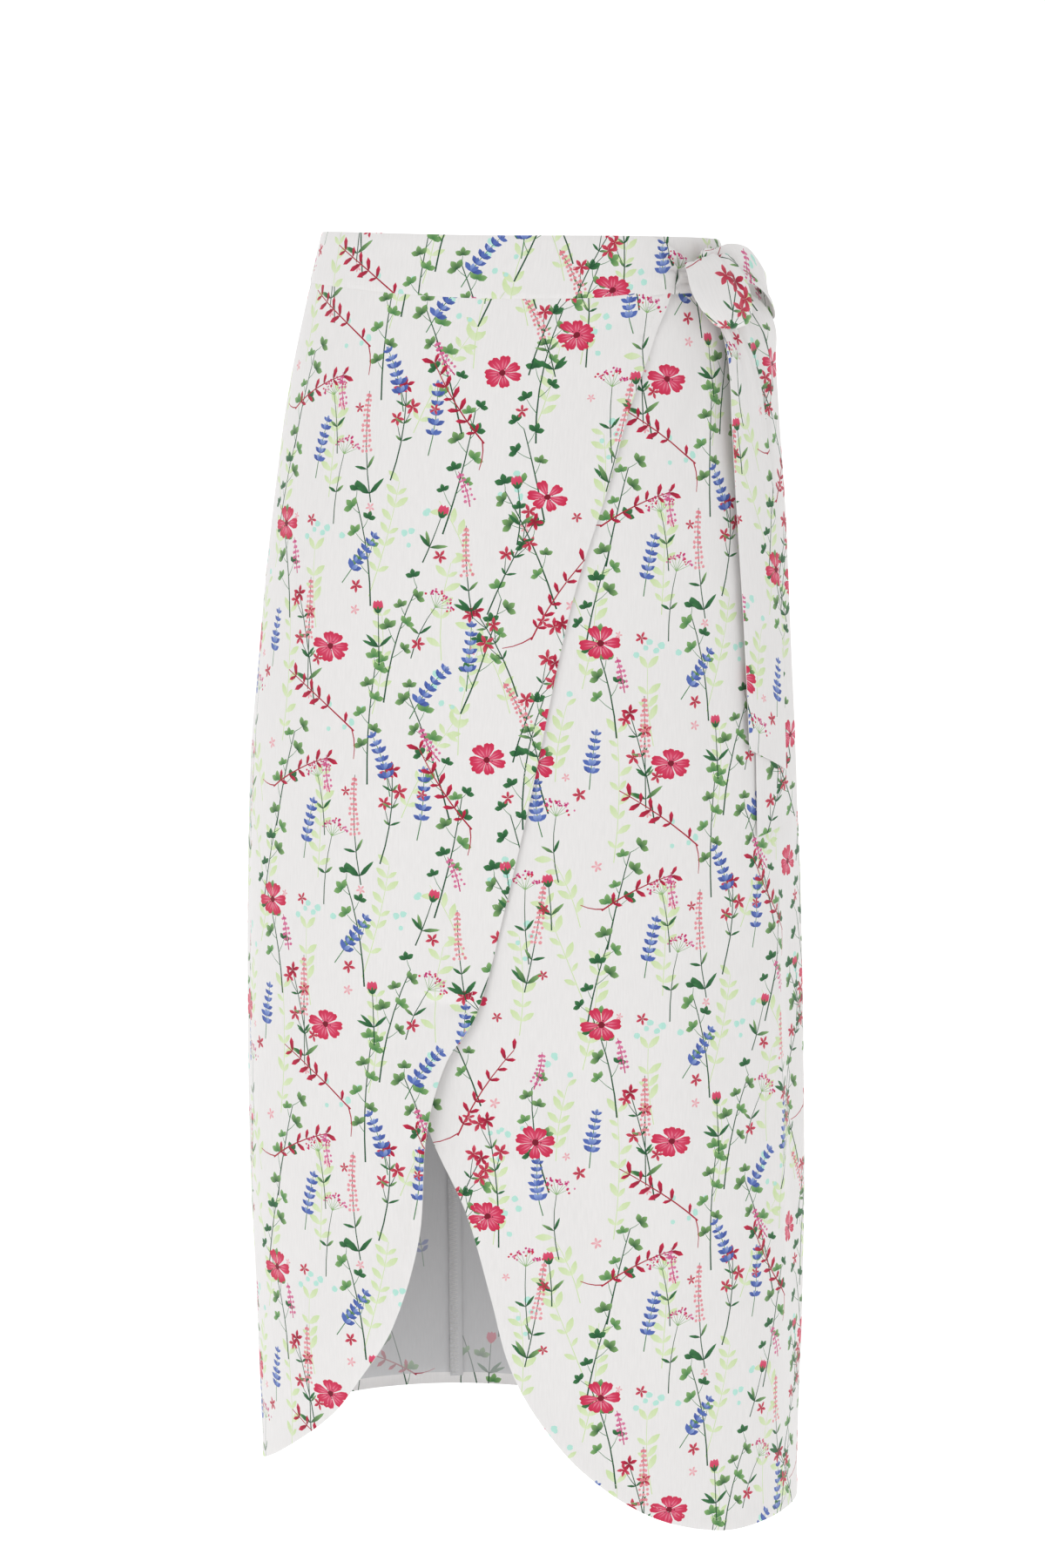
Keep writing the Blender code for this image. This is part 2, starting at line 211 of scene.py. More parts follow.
def on_form(angle, height, out=0.0):
    """Points at these angles, heights and distances out from the form."""
    angle, height, out = np.broadcast_arrays(np.asarray(angle, float), height, out)
    left, right, front, back = np.moveaxis(
        through([row.height for row in FORM], [row[1:] for row in FORM], height), -1, 0
    )
    turn = np.radians(angle)
    across, ahead = np.sin(turn), np.cos(turn)
    fill = 1.0 + FORM_FILL * np.sin(2.0 * turn) ** 2
    half_width = np.where(across < 0, left, right) * fill + out
    half_depth = np.where(ahead > 0, front, back) * fill + out
    return np.stack([across * half_width, -ahead * half_depth, height], -1)


def band_line(angle, middle, rise):
    across = np.sin(np.radians(angle))
    return middle + np.where(across < 0, rise["left"], rise["right"]) * across**2


def band_top(angle):
    return band_line(angle, BAND_TOP, BAND_TOP_RISE)


def band_foot(angle):
    return band_line(angle, BAND_FOOT, BAND_FOOT_RISE)


# Cloth measured flat: along the form from the front's middle, at each height.
GIRTH_HEIGHTS = np.linspace(0.030, -0.880, 131)
GIRTH_ANGLES = np.linspace(-110.0, 290.0, 401)
HALVINGS = 24
ring = on_form(GIRTH_ANGLES[None, :], GIRTH_HEIGHTS[:, None])
girth = np.concatenate(
    [np.zeros((len(ring), 1)), np.cumsum(np.linalg.norm(np.diff(ring, axis=1), axis=2), axis=1)], 1
)


def girth_at(angle, height):
    """How far round the form this angle is, at this height."""
    row = np.interp(-np.asarray(height), -GIRTH_HEIGHTS, np.arange(len(GIRTH_HEIGHTS)))
    column = np.interp(angle, GIRTH_ANGLES, np.arange(len(GIRTH_ANGLES)))
    i = np.minimum(row.astype(int), len(GIRTH_HEIGHTS) - 2)
    j = np.minimum(column.astype(int), len(GIRTH_ANGLES) - 2)
    a, b = row - i, column - j
    upper = girth[i, j] * (1 - b) + girth[i, j + 1] * b
    lower = girth[i + 1, j] * (1 - b) + girth[i + 1, j + 1] * b
    return upper * (1 - a) + lower * a


def to_flat(angle, height, middle):
    """The flat cloth's own coordinates of points on the form, from a plumb line at one angle."""
    angle, height = np.broadcast_arrays(np.asarray(angle, float), np.asarray(height, float))
    return np.stack([girth_at(angle, height) - girth_at(middle + 0 * angle, height), height], -1)


def from_flat(flat, middle):
    """The angle of points of the flat cloth, found by halving."""
    height = flat[:, 1]
    goal = flat[:, 0] + girth_at(middle + 0 * height, height)
    low = np.full(len(flat), GIRTH_ANGLES[0])
    high = np.full(len(flat), GIRTH_ANGLES[-1])
    for _ in range(HALVINGS):
        half = (low + high) / 2
        short = girth_at(half, height) < goal
        low, high = np.where(short, half, low), np.where(short, high, half)
    return (low + high) / 2


# ------------------------------------------------------------
# The print: wild flowers scattered over white, one repeat of 275 by 250 mm, screened in flat inks.
# Each motif is a set of small inked shapes on the flat cloth, laid down in order, pale ones first.
# ------------------------------------------------------------
REPEAT = np.array([275.0, 250.0]) * MM
Shape = namedtuple("Shape", "points middle rim centre reach bold")
Stem = namedtuple("Stem", "x y heading length bend")
SMALL_LEAF = 4.6 * MM  # drawn with fewer corners
STRAIGHT = 0.5  # a stem bent by less than this is drawn bent by this
shapes = []
chance = random.Random(20)


def ink(code):
    """A colour as light, from its usual code."""
    parts = [int(code[k:k + 2], 16) / 255 for k in (0, 2, 4)]
    return tuple(c / 12.92 if c <= 0.04045 else ((c + 0.055) / 1.055) ** 2.4 for c in parts)


CRIMSON, ROSE, BLUSH = ink("D3254D"), ink("E4567A"), ink("F2A3B5")
BERRY, BERRY_DARK, HEART = ink("B3203C"), ink("8E1830"), ink("6E0F26")
MAGENTA, PINK, PALE_PINK = ink("C92877"), ink("E07BA4"), ink("F5C3CB")
CORAL, CORAL_PALE = ink("DB4F67"), ink("EFA0A8")
PINE, LEAF, MOSS = ink("1F5234"), ink("3F8049"), ink("8DB873")
LIME, LIME_PALE, AQUA = ink("D3E8AE"), ink("E6F2CE"), ink("BDEDE0")
INDIGO, BLUE, SKY = ink("33438F"), ink("5871BC"), ink("9DB3E4")


def anticlockwise(points):
    x, y = points.T
    turning = np.dot(x, np.roll(y, -1)) - np.dot(y, np.roll(x, -1))
    return points if turning > 0 else points[::-1]


def add_shape(points, middle, rim=None, centre=None, bold=True):
    points = anticlockwise(np.asarray(points, float))
    centre = points.mean(0) if centre is None else np.asarray(centre, float)
    reach = max(np.linalg.norm(points - centre, axis=1).max(), 1e-5)
    shapes.append(Shape(points, middle, rim or middle, centre, reach, bold))


def on_stalk(stem, share):
    """A point this share of the way along an evenly bent stem, and its heading there."""
    x, y, heading, length, bend = stem
    start = math.radians(heading)
    turned = math.radians(bend if abs(bend) > STRAIGHT else STRAIGHT)
    now = start + turned * share
    radius = length / turned
    return (
        x + radius * (math.cos(start) - math.cos(now)),
        y + radius * (math.sin(now) - math.sin(start)),
        math.degrees(now),
    )


def stalk(stem, width, colour, steps=4, bold=True):
    left, right = [], []
    for k in range(steps + 1):
        px, py, turn = on_stalk(stem, k / steps)
        half = width / 2 * (1.0 - 0.45 * k / steps)
        sx, sy = math.cos(math.radians(turn)) * half, -math.sin(math.radians(turn)) * half
        left.append((px - sx, py - sy))
        right.append((px + sx, py + sy))
    add_shape(left + right[::-1], colour, bold=bold)


def leaf(x, y, heading, length, width, root, tip, fullest=0.5, bold=True):
    """A pointed leaf or petal from its root, its colour turning from root to tip."""
    turn = math.radians(heading)
    along, beside = (math.sin(turn), math.cos(turn)), (math.cos(turn), -math.sin(turn))
    halves = ((0.0, 0.0), (0.22, 0.33), (fullest, 0.5), (0.82, 0.30), (1.0, 0.0))
    if length < SMALL_LEAF:
        halves = ((0.0, 0.0), (0.34, 0.42), (0.76, 0.42), (1.0, 0.0))
    outline = [(a, b) for a, b in halves] + [(a, -b) for a, b in halves[-2:0:-1]]
    add_shape(
        [
            (
                x + along[0] * a * length + beside[0] * b * width,
                y + along[1] * a * length + beside[1] * b * width,
            )
            for a, b in outline
        ],
        root, tip, (x, y), bold,
    )


def dot(x, y, radius, colour, rim=None, sides=6, bold=True):
    start = chance.uniform(0, math.pi)
    add_shape(
        [
            (
                x + radius * chance.uniform(0.8, 1.15) * math.cos(start + math.tau * k / sides),
                y + radius * chance.uniform(0.8, 1.15) * math.sin(start + math.tau * k / sides),
            )
            for k in range(sides)
        ],
        colour, rim, bold=bold,
    )


def open_flower(x, y, size):
    """A large open flower: broad notched petals with pale streaks round a dark heart."""
    petals = chance.choice((6, 6, 7))
    start = chance.uniform(0, 360)
    squeeze = chance.uniform(0.72, 0.98)
    outline = (
        (0.10, 0.04), (0.35, 0.15), (0.66, 0.27), (0.90, 0.24), (1.0, 0.10), (0.92, 0.0),
        (0.98, -0.12), (0.88, -0.25), (0.62, -0.25), (0.35, -0.13), (0.10, -0.04),
    )
    for k in range(petals):
        turn = math.radians(start + 360 / petals * k + chance.uniform(-7, 7))
        long = size / 2 * chance.uniform(0.86, 1.08)
        wide = size / 2 * chance.uniform(0.95, 1.2)

        def placed(a, b):
            px = math.sin(turn) * a * long + math.cos(turn) * b * wide
            py = math.cos(turn) * a * long - math.sin(turn) * b * wide
            return x + px, y + py * squeeze

        streaks = [
            ((0.22, side * 0.5), (0.5, side - 0.035), (0.80, side), (0.5, side + 0.035))
            for side in (-0.08, 0.07)
        ]
        for area, *inks in ((outline, ROSE, CRIMSON), *((s, BLUSH, ROSE) for s in streaks)):
            add_shape([placed(a, b) for a, b in area], *inks, (x, y))
    dot(x, y, size * 0.085, HEART, BERRY_DARK, 8)
    for k in range(5):
        turn = math.tau * k / 5 + start
        dot(x + size * 0.13 * math.sin(turn), y + size * 0.11 * math.cos(turn), size * 0.018, HEART,
            sides=4)


def star_flower(x, y, size, root, tip, bold=True):
    start = chance.uniform(0, 72)
    for k in range(5):
        heading = start + 72 * k + chance.uniform(-8, 8)
        leaf(x, y, heading, size / 2, size * 0.22, root, tip, 0.55, bold)


def berry_branch(stem):
    stalk(stem, 1.1 * MM, BERRY, 6)
    pairs = round(stem.length / (8.5 * MM))
    for k in range(1, pairs + 1):
        px, py, turn = on_stalk(stem, k / pairs)
        for side in (-1, 1):
            if chance.random() < 0.2:
                continue
            long = chance.uniform(6.0, 10.0) * MM
            away = turn + side * chance.uniform(38, 62)
            leaf(px, py, away, long, long * 0.36, BERRY_DARK, CRIMSON, 0.68)
    fork_x, fork_y, turn = on_stalk(stem, 0.03)
    stalk(Stem(fork_x, fork_y, turn - 150, stem.length * 0.3, 30), 0.9 * MM, BERRY, 3)


def lavender(stem):
    stalk(stem, 0.7 * MM, LEAF, 4)
    rows = 6
    for k in range(rows):
        px, py, turn = on_stalk(stem, 0.30 + 0.68 * k / (rows - 1))
        size = (7.0 - 0.4 * k) * MM * chance.uniform(0.85, 1.1)
        for side in (-1, 1):
            root = chance.choice((INDIGO, INDIGO, BLUE))
            leaf(px, py, turn + side * chance.uniform(48, 66), size, size * 0.46, root, BLUE, 0.6)
            leaf(px, py, turn + side * chance.uniform(18, 32), size * 0.72, size * 0.4, BLUE,
                 chance.choice((SKY, BLUE)), 0.6)
    px, py, turn = on_stalk(stem, 1.0)
    leaf(px, py, turn, 3.6 * MM, 2.0 * MM, INDIGO, SKY)


def leafy_sprig(stem):
    """A stalk with side stalks that end in three-part leaves."""
    stalk(stem, 1.1 * MM, PINE, 5)
    count = round(stem.length / (9.5 * MM))
    for k in range(2, count + 1):
        px, py, turn = on_stalk(stem, k / count)
        side = 1 if k % 2 else -1
        away = turn + side * chance.uniform(34, 58)
        reach = chance.uniform(6.0, 13.0) * MM * (1.15 - 0.5 * k / count)
        twig = Stem(px, py, away, reach, -side * 18)
        stalk(twig, 0.5 * MM, LEAF, 2)
        lx, ly, heading_there = on_stalk(twig, 1.0)
        root, tip = chance.choice(((PINE, LEAF), (PINE, MOSS), (LEAF, MOSS)))
        size = chance.uniform(4.8, 7.0) * MM
        for spread in (-62, 0, 62):
            leaf(lx, ly, heading_there + spread, size, size * 0.62, root, tip, 0.6)


def long_leaves(x, y, heading, size, count):
    """Lance-shaped leaves in pairs at a stalk's foot."""
    for k in range(count):
        side = 1 if k % 2 else -1
        leaf(x, y, heading + side * chance.uniform(35, 70), size * chance.uniform(0.75, 1.15),
             size * 0.24, PINE, chance.choice((LEAF, MOSS)), 0.45)


def umbel(stem):
    """Fine rays spreading from one stalk, with bunches of tiny flowers at their ends."""
    stalk(stem, 0.75 * MM, PINE, 4)
    long_leaves(*on_stalk(stem, 0.45)[:2], stem.heading, 9 * MM, 2)
    px, py, turn = on_stalk(stem, 1.0)
    for k in range(7):
        away = turn + (k - 3) * 19 + chance.uniform(-4, 4)
        reach = chance.uniform(8.5, 11.0) * MM
        ray = Stem(px, py, away, reach, 0)
        stalk(ray, 0.4 * MM, MOSS, 1)
        ex, ey, _ = on_stalk(ray, 1.0)
        for _ in range(5):
            dot(ex + chance.gauss(0, 1.5) * MM, ey + chance.gauss(0, 1.2) * MM,
                chance.uniform(0.6, 1.0) * MM, chance.choice((MAGENTA, CRIMSON, PINK)), sides=5)


def bud(stem):
    stalk(stem, 0.9 * MM, PINE, 4)
    long_leaves(*on_stalk(stem, 0.35)[:2], stem.heading, 11 * MM, 3)
    px, py, turn = on_stalk(stem, 1.0)
    for side in (-1, 0, 1):
        leaf(px, py, turn + side * 16, 9.0 * MM, 4.6 * MM, CRIMSON, ROSE, 0.55)
    for side in (-1, 0, 1):
        leaf(px, py, turn + side * 34, 5.2 * MM, 1.9 * MM, PINE, LEAF, 0.4)


def flower_spike(stem, deep, pale, leafy):
    """A stalk closely set with small flowers, over a few long leaves."""
    stalk(stem, 0.8 * MM, PINE if leafy else deep, 4)
    if leafy:
        long_leaves(*on_stalk(stem, 0.08)[:2], stem.heading, 13 * MM, 4)
        long_leaves(*on_stalk(stem, 0.3)[:2], stem.heading, 9 * MM, 2)
    first = 0.45 if leafy else 0.12
    count = round(stem.length * (1 - first) / (3.4 * MM))
    for k in range(count):
        share = first + (1 - first) * k / count
        px, py, turn = on_stalk(stem, share)
        reach = 3.1 * MM * (1.12 - 0.75 * k / count)
        for side in (-1, 0, 1):
            away = Stem(px, py, turn + side * 68, reach if side else 1.1 * MM, 0)
            sx, sy, _ = on_stalk(away, chance.uniform(0.55, 1.15))
            dot(sx, sy, chance.uniform(0.95, 1.35) * MM, chance.choice((deep, deep, pale)), pale, 5)


def pale_sprig(stem):
    stalk(stem, 0.6 * MM, LIME, 4, False)
    count = round(stem.length / (9 * MM))
    for k in range(1, count + 1):
        px, py, turn = on_stalk(stem, k / count)
        for side in (-1, 1):
            if chance.random() < 0.72:
                long = chance.uniform(7.0, 12.0) * MM
                leaf(px, py, turn + side * chance.uniform(32, 60), long, long * 0.40, LIME_PALE,
                     LIME, 0.55, False)


def star_spray(stem):
    """A forked stalk with a red star flower at the end of each branch."""
    stalk(stem, 1.0 * MM, PINE, 5)
    for share, away in ((0.42, -30), (0.60, 28), (0.78, -24)):
        px, py, turn = on_stalk(stem, share)
        reach = chance.uniform(12, 20) * MM
        twig = Stem(px, py, turn + away, reach, -away * 0.5)
        stalk(twig, 0.6 * MM, PINE, 3)
        ex, ey, _ = on_stalk(twig, 1.0)
        star_flower(ex, ey, chance.uniform(10, 13) * MM, BERRY, CORAL)
        long_leaves(px, py, turn, 7 * MM, 2)
    ex, ey, _ = on_stalk(stem, 1.0)
    star_flower(ex, ey, 12 * MM, BERRY_DARK, CRIMSON)


TRIES, MOST_BENT = 14, 26


def even_places(count, taken):
    """Places spread over the repeat, each the farthest of a few tries from all placed so far."""
    found = []
    for _ in range(count):
        tries = [np.array([chance.random(), chance.random()]) * REPEAT for _ in range(TRIES)]

        def room(place):
            gaps = [np.abs(place - other) for other in taken + found]
            return min((np.hypot(*np.minimum(gap, REPEAT - gap)) for gap in gaps), default=1.0)

        found.append(max(tries, key=room))
    return found


def sown(count, motif, taken, lean, *sizes):
    """Draws a motif at evenly spread places, each with its own heading, length and bend."""
    for x, y in even_places(count, taken):
        heading = chance.uniform(-lean, lean)
        length = chance.uniform(*sizes[0]) * MM
        motif(Stem(x, y, heading, length, chance.uniform(-MOST_BENT, MOST_BENT)), *sizes[1:])
        taken.append(np.array([x, y]))


pale_places, green_places, bright_places = [], [], []
sown(17, pale_sprig, pale_places, 22, (48, 88))
for x, y in even_places(9, []):
    for _ in range(chance.choice((4, 5, 6))):
        dot(x + chance.gauss(0, 9) * MM, y + chance.gauss(0, 11) * MM,
            chance.uniform(1.6, 2.6) * MM, AQUA, sides=7, bold=False)
for x, y in even_places(12, []):
    star_flower(x, y, chance.uniform(5, 8) * MM, PALE_PINK, CORAL_PALE, False)
sown(13, leafy_sprig, green_places, 24, (55, 88))
sown(5, umbel, green_places, 16, (34, 50))
sown(6, star_spray, green_places, 26, (62, 90))
sown(5, flower_spike, bright_places, 14, (58, 74), CORAL, CORAL_PALE, True)
sown(5, flower_spike, bright_places, 50, (18, 28), MAGENTA, PINK, False)
sown(4, bud, bright_places, 42, (26, 40))
sown(8, lavender, bright_places, 38, (34, 46))
sown(4, berry_branch, bright_places, 62, (52, 74))
for x, y in even_places(14, []):
    star_flower(x, y, chance.uniform(7, 10) * MM, BERRY, CORAL)
for x, y in even_places(6, bright_places):
    open_flower(x, y, chance.uniform(24, 28) * MM)


# ------------------------------------------------------------
# How a piece is cut and sewn: the print's shapes are laid into the flat cloth, which is then set
# on the form. Each piece has its printed face, its wrong side with the print paler and, on single
# layers, its bare cloth painted grey as the shade inside the skirt, with a closed edge, and, where
# it is hemmed, a row of stitches.
# ------------------------------------------------------------
CLOTH_WHITE = ink("F3F1F0")
# The wrong side is the same white cloth; this grey is painted shade for the dim inside of the
# skirt.
WRONG_SIDE_SHADE_GREY = ink("D6D6D7")
SHOWS_THROUGH = 0.50  # how strongly the print shows on the wrong side
LAYER = 0.55 * MM
THREAD_PITCH, WEAVE_DEPTH = 0.45 * MM, 0.1 * MM
SLUBS = (900.0, 90.0, 1.0)  # how fine the yarn's unevenness is across and along
DARKEST_YARN, PALEST_YARN = 0.93, 1.03
CLOTH_FINISH = {
    "Roughness": 0.82, "Sheen Weight": 0.25, "Sheen Roughness": 0.5, "Specular IOR Level": 0.25,
}
FACE_MESH, WRONG_SIDE_MESH, EDGE_STEP = 5.5 * MM, 5.5 * MM, 3.0 * MM
FINE_MESH = 2.2 * MM  # for the narrow pieces, which have tighter folds
TURNED_HEM = 8.0 * MM
CUT_SCALE = 1000.0  # the cutting works in millimetres
UV_MARGIN = 0.01
CELLS = 5  # the repeat is cut as 5 by 5 cells, because small areas are cut much faster
WELD, CUT_MERGE = 2e-6, 1e-4
FINEST_SHOWING = 6.0 * MM  # smaller shapes don't show on the wrong side


def woven_cloth(name):
    """Printed viscose: the print's colours, a little uneven, under a fine plain weave."""
    material, shader, add, link = started_material(name, CLOTH_FINISH)
    printed = add("Attribute")
    printed.attribute_name = "print"
    flat = add("UVMap")
    flat.uv_map = "cloth"
    slubs = add("Mapping", Scale=SLUBS)
    link(flat.outputs["UV"], slubs.inputs["Vector"])
    yarn = add("TexNoise", Scale=1.0, Detail=2.0)
    link(slubs.outputs["Vector"], yarn.inputs["Vector"])
    uneven = add("MapRange", To_Min=DARKEST_YARN, To_Max=PALEST_YARN)
    link(yarn.outputs["Fac"], uneven.inputs["Value"])
    tinted = add("Mix", Factor=1.0)
    tinted.data_type = "RGBA"
    tinted.blend_type = "MULTIPLY"
    link(printed.outputs["Color"], tinted.inputs["A"])
    link(uneven.outputs["Result"], tinted.inputs["B"])
    link(tinted.outputs["Result"], shader.inputs["Base Color"])
    weave = add("Math")
    weave.operation = "MULTIPLY"
    for entry, axis in enumerate("XY"):
        yarns = add("TexWave", Scale=math.pi / 10 / THREAD_PITCH, Distortion=0.6)
        yarns.bands_direction = axis
        link(flat.outputs["UV"], yarns.inputs["Vector"])
        link(yarns.outputs["Fac"], weave.inputs[entry])
    bump = add("Bump", Strength=0.25, Distance=WEAVE_DEPTH)
    link(weave.outputs["Value"], bump.inputs["Height"])
    link(bump.outputs["Normal"], shader.inputs["Normal"])
    return material


def resampled(line, step):
    """The same line with its points no further apart than this."""
    found = []
    for a, b in zip(line, line[1:]):
        parts = max(1, math.ceil(np.linalg.norm(b - a) / step))
        found += [a + (b - a) * k / parts for k in range(parts)]
    return np.array(found + [line[-1]])


def inside(points, outline):
    """Which points lie within a closed outline."""
    x, y = points[:, 0][:, None], points[:, 1][:, None]
    ax, ay = outline.T
    bx, by = np.roll(outline, -1, axis=0).T
    crosses = (ay > y) != (by > y)
    level = np.where(by == ay, 1.0, by - ay)
    return (crosses & (x < (bx - ax) * (y - ay) / level + ax)).sum(1) % 2 == 1


def repeat_cells():
    """For each cell of the repeat, the shapes that reach into it, with their shifts by a repeat."""
    found = {}
    cell = REPEAT / CELLS
    for number, shape in enumerate(shapes):
        first = np.floor(shape.points.min(0) / cell).astype(int)
        last = np.floor(shape.points.max(0) / cell).astype(int)
        for column in range(first[0], last[0] + 1):
            for row in range(first[1], last[1] + 1):
                turns = np.array([column // CELLS, row // CELLS])
                key = (column % CELLS, row % CELLS)
                found.setdefault(key, []).append((number, -turns * REPEAT))
    return found


def cut_cell(corner, spacing, laid, limits):
    """One cell cut along the shapes laid on it, and along the limits that cross it."""
    cell = REPEAT / CELLS
    across, up = (max(1, round(side / spacing)) for side in cell)
    grid = np.array([
        corner + cell * (i / across, j / up) for j in range(up + 1) for i in range(across + 1)
    ])
    square = corner + cell * np.array([(0, 0), (1, 0), (1, 1), (0, 1)])
    areas = [square] + limits + [shapes[number].points + shift for number, shift in laid]
    starts = np.cumsum([0] + [len(area) for area in areas])
    points = (np.concatenate(areas + [grid]) - corner) * CUT_SCALE
    flat, _, corners, _, _, covers = delaunay_2d_cdt(
        [Vector(p) for p in points.tolist()],
        [],
        [list(range(a, b)) for a, b in zip(starts, starts[1:])],
        0,
        CUT_MERGE,
    )
    kept = [(c, o) for c, o in zip(corners, covers) if 0 in o]
    first_shape = 1 + len(limits)
    return (
        np.array([tuple(p) for p in flat]) / CUT_SCALE + corner,
        np.array([c for c, _ in kept]).reshape(-1, 3),
        np.array([max(o) - first_shape if max(o) >= first_shape else -1 for _, o in kept]),
        np.array([[k + 1 in o for k in range(len(limits))] for _, o in kept], bool),
    )


def lay_print(outline, spacing, repeat_at, fewer, hem=None):
    """The flat piece cut into triangles along every inked shape: their points, corners, the shape
    that shows on each (-1 is bare cloth), that shape's centre, and whether it lies in the hem."""
    cell = REPEAT / CELLS
    low = np.floor((outline.min(0) - repeat_at) / cell).astype(int)
    high = np.floor((outline.max(0) - repeat_at) / cell).astype(int)
    borders = [outline] + ([hem] if hem is not None else [])
    parts = []
    for column in range(low[0], high[0] + 1):
        for row in range(low[1], high[1] + 1):
            corner = repeat_at + cell * (column, row)
            middle = (corner + cell / 2)[None, :]
            near = [
                (np.abs(border - middle) < cell / 2 + 2 * EDGE_STEP).all(1).any()
                for border in borders
            ]
            within = [bool(inside(middle, border)[0]) for border in borders]
            if not near[0] and not within[0]:
                continue
            key = (column % CELLS, row % CELLS)
            shift = repeat_at + REPEAT * (column // CELLS, row // CELLS)
            laid = [
                (number, back + shift)
                for number, back in cells_of_repeat.get(key, [])
                if not fewer or (shapes[number].bold and shapes[number].reach > FINEST_SHOWING)
            ]
            limits = [anticlockwise(b) for b, crossing in zip(borders, near) if crossing]
            flat, corners, top, covered = cut_cell(corner, spacing, laid, limits)
            crossed = iter(covered.T)
            states = [
                next(crossed) if crossing else np.full(len(corners), whole)
                for crossing, whole in zip(near, within)
            ]
            kept = states[0]
            in_hem = ~states[1] if hem is not None else np.zeros(len(corners), bool)
            number = np.array([n for n, _ in laid] + [-1])[top]
            centre = np.array([shapes[n].centre + back for n, back in laid] + [(0.0, 0.0)])[top]
            parts.append((flat, corners[kept], number[kept], centre[kept], in_hem[kept]))
    offsets = np.cumsum([0] + [len(part[0]) for part in parts])
    flat = np.concatenate([part[0] for part in parts])
    corners = np.concatenate([part[1] + offset for part, offset in zip(parts, offsets)])
    number, centre, in_hem = (np.concatenate([part[k] for part in parts]) for k in (2, 3, 4))
    _, first, index = np.unique(
        np.round(flat / WELD).astype(np.int64), axis=0, return_index=True, return_inverse=True
    )
    corners = index.reshape(-1)[corners]
    whole = (corners != np.roll(corners, 1, axis=1)).all(1)
    used, corners = np.unique(corners[whole], return_inverse=True)
    flat = flat[first][used]
    return flat, corners.reshape(-1, 3), number[whole], centre[whole], in_hem[whole]


def plain(count, colour):
    """The same colour at each corner of this many triangles."""
    return np.tile(np.array(colour), (count, 3, 1))


def inked(flat, triangles, number, centre, bare, strength):
    """The colour at each corner of each triangle, at this strength over the bare cloth."""
    colours = plain(len(triangles), bare)
    has = number >= 0
    which = number[has]
    middle, rim = (np.array([getattr(s, end) for s in shapes])[which] for end in ("middle", "rim"))
    reach = np.array([shape.reach for shape in shapes])[which]
    away = np.linalg.norm(flat[triangles[has]] - centre[has][:, None], axis=2)
    share = np.clip(away / reach[:, None], 0, 1)[..., None]
    fresh = middle[:, None] * (1 - share) + rim[:, None] * share
    mixed = strength[has][:, None, None]
    colours[has] = fresh * mixed + np.array(bare) * (1 - mixed)
    return colours


cells_of_repeat = repeat_cells()


def new_piece(name, places, faces, material):
    mesh = bpy.data.meshes.new(name)
    mesh.from_pydata(places.tolist(), [], faces)
    mesh.shade_smooth()
    mesh.materials.append(material)
    piece = bpy.data.objects.new(name, mesh)
    scene.collection.objects.link(piece)
    return piece


def cloth_mesh(name, flat, triangles, places, colours, low, size, material):
    """A piece of cloth with its print's colours and its flat coordinates."""
    piece = new_piece(name, places, triangles.tolist(), material)
    mesh = piece.data
    tint = mesh.color_attributes.new("print", "FLOAT_COLOR", "CORNER")
    tint.data.foreach_set(
        "color", np.concatenate([colours, np.ones(colours.shape[:2] + (1,))], 2).ravel()
    )
    corners = flat[triangles].reshape(-1, 2)
    mesh.uv_layers.new(name="cloth").data.foreach_set("uv", corners.ravel())
    baked = mesh.uv_layers.new(name="OFBake")
    baked.data.foreach_set(
        "uv", ((corners - low) / size * (1.0 - 2.0 * UV_MARGIN) + UV_MARGIN).ravel()
    )
    return piece


STITCH_PITCH, STITCH_LENGTH, STITCH_SUNK, STITCH_UP = 2.8 * MM, 2.1 * MM, -0.08 * MM, 0.14 * MM
THREAD_RADIUS, THREAD_END, THREAD_SIDES = 0.14 * MM, 0.084 * MM, 4
THREAD_FINISH = {"Base Color": (*ink("F4F2EF"), 1.0), "Roughness": 0.7, "Sheen Weight": 0.3}
PLIES, PLY_DEPTH = 900.0, 0.05 * MM
BODY_MIDDLE = np.array((0.0, 0.0, -0.35))


def sewing_thread():
    """Matt spun thread, with the turn of its plies as a fine slanting bump."""
    material, shader, add, link = started_material("sewing_thread", THREAD_FINISH)
    place = add("TexCoord")
    plies = add("TexWave", Scale=PLIES)
    plies.bands_direction = "DIAGONAL"
    link(place.outputs["Object"], plies.inputs["Vector"])
    bump = add("Bump", Strength=0.4, Distance=PLY_DEPTH)
    link(plies.outputs["Fac"], bump.inputs["Height"])
    link(bump.outputs["Normal"], shader.inputs["Normal"])
    return material


def straight_stitches(line, place):
    """The starts, middles and ends of a row of stitches along a flat line."""
    steps = np.concatenate([[0], np.cumsum(np.linalg.norm(np.diff(line, axis=0), axis=1))])
    starts = np.arange(STITCH_PITCH, steps[-1] - STITCH_PITCH, STITCH_PITCH)
    marks = [
        np.stack([np.interp(starts + on, steps, line[:, k]) for k in (0, 1)], 1)
        for on in (0.0, STITCH_LENGTH / 2, STITCH_LENGTH)
    ]
    return [place(mark, -lift) for mark, lift in zip(marks, (STITCH_SUNK, STITCH_UP, STITCH_SUNK))]


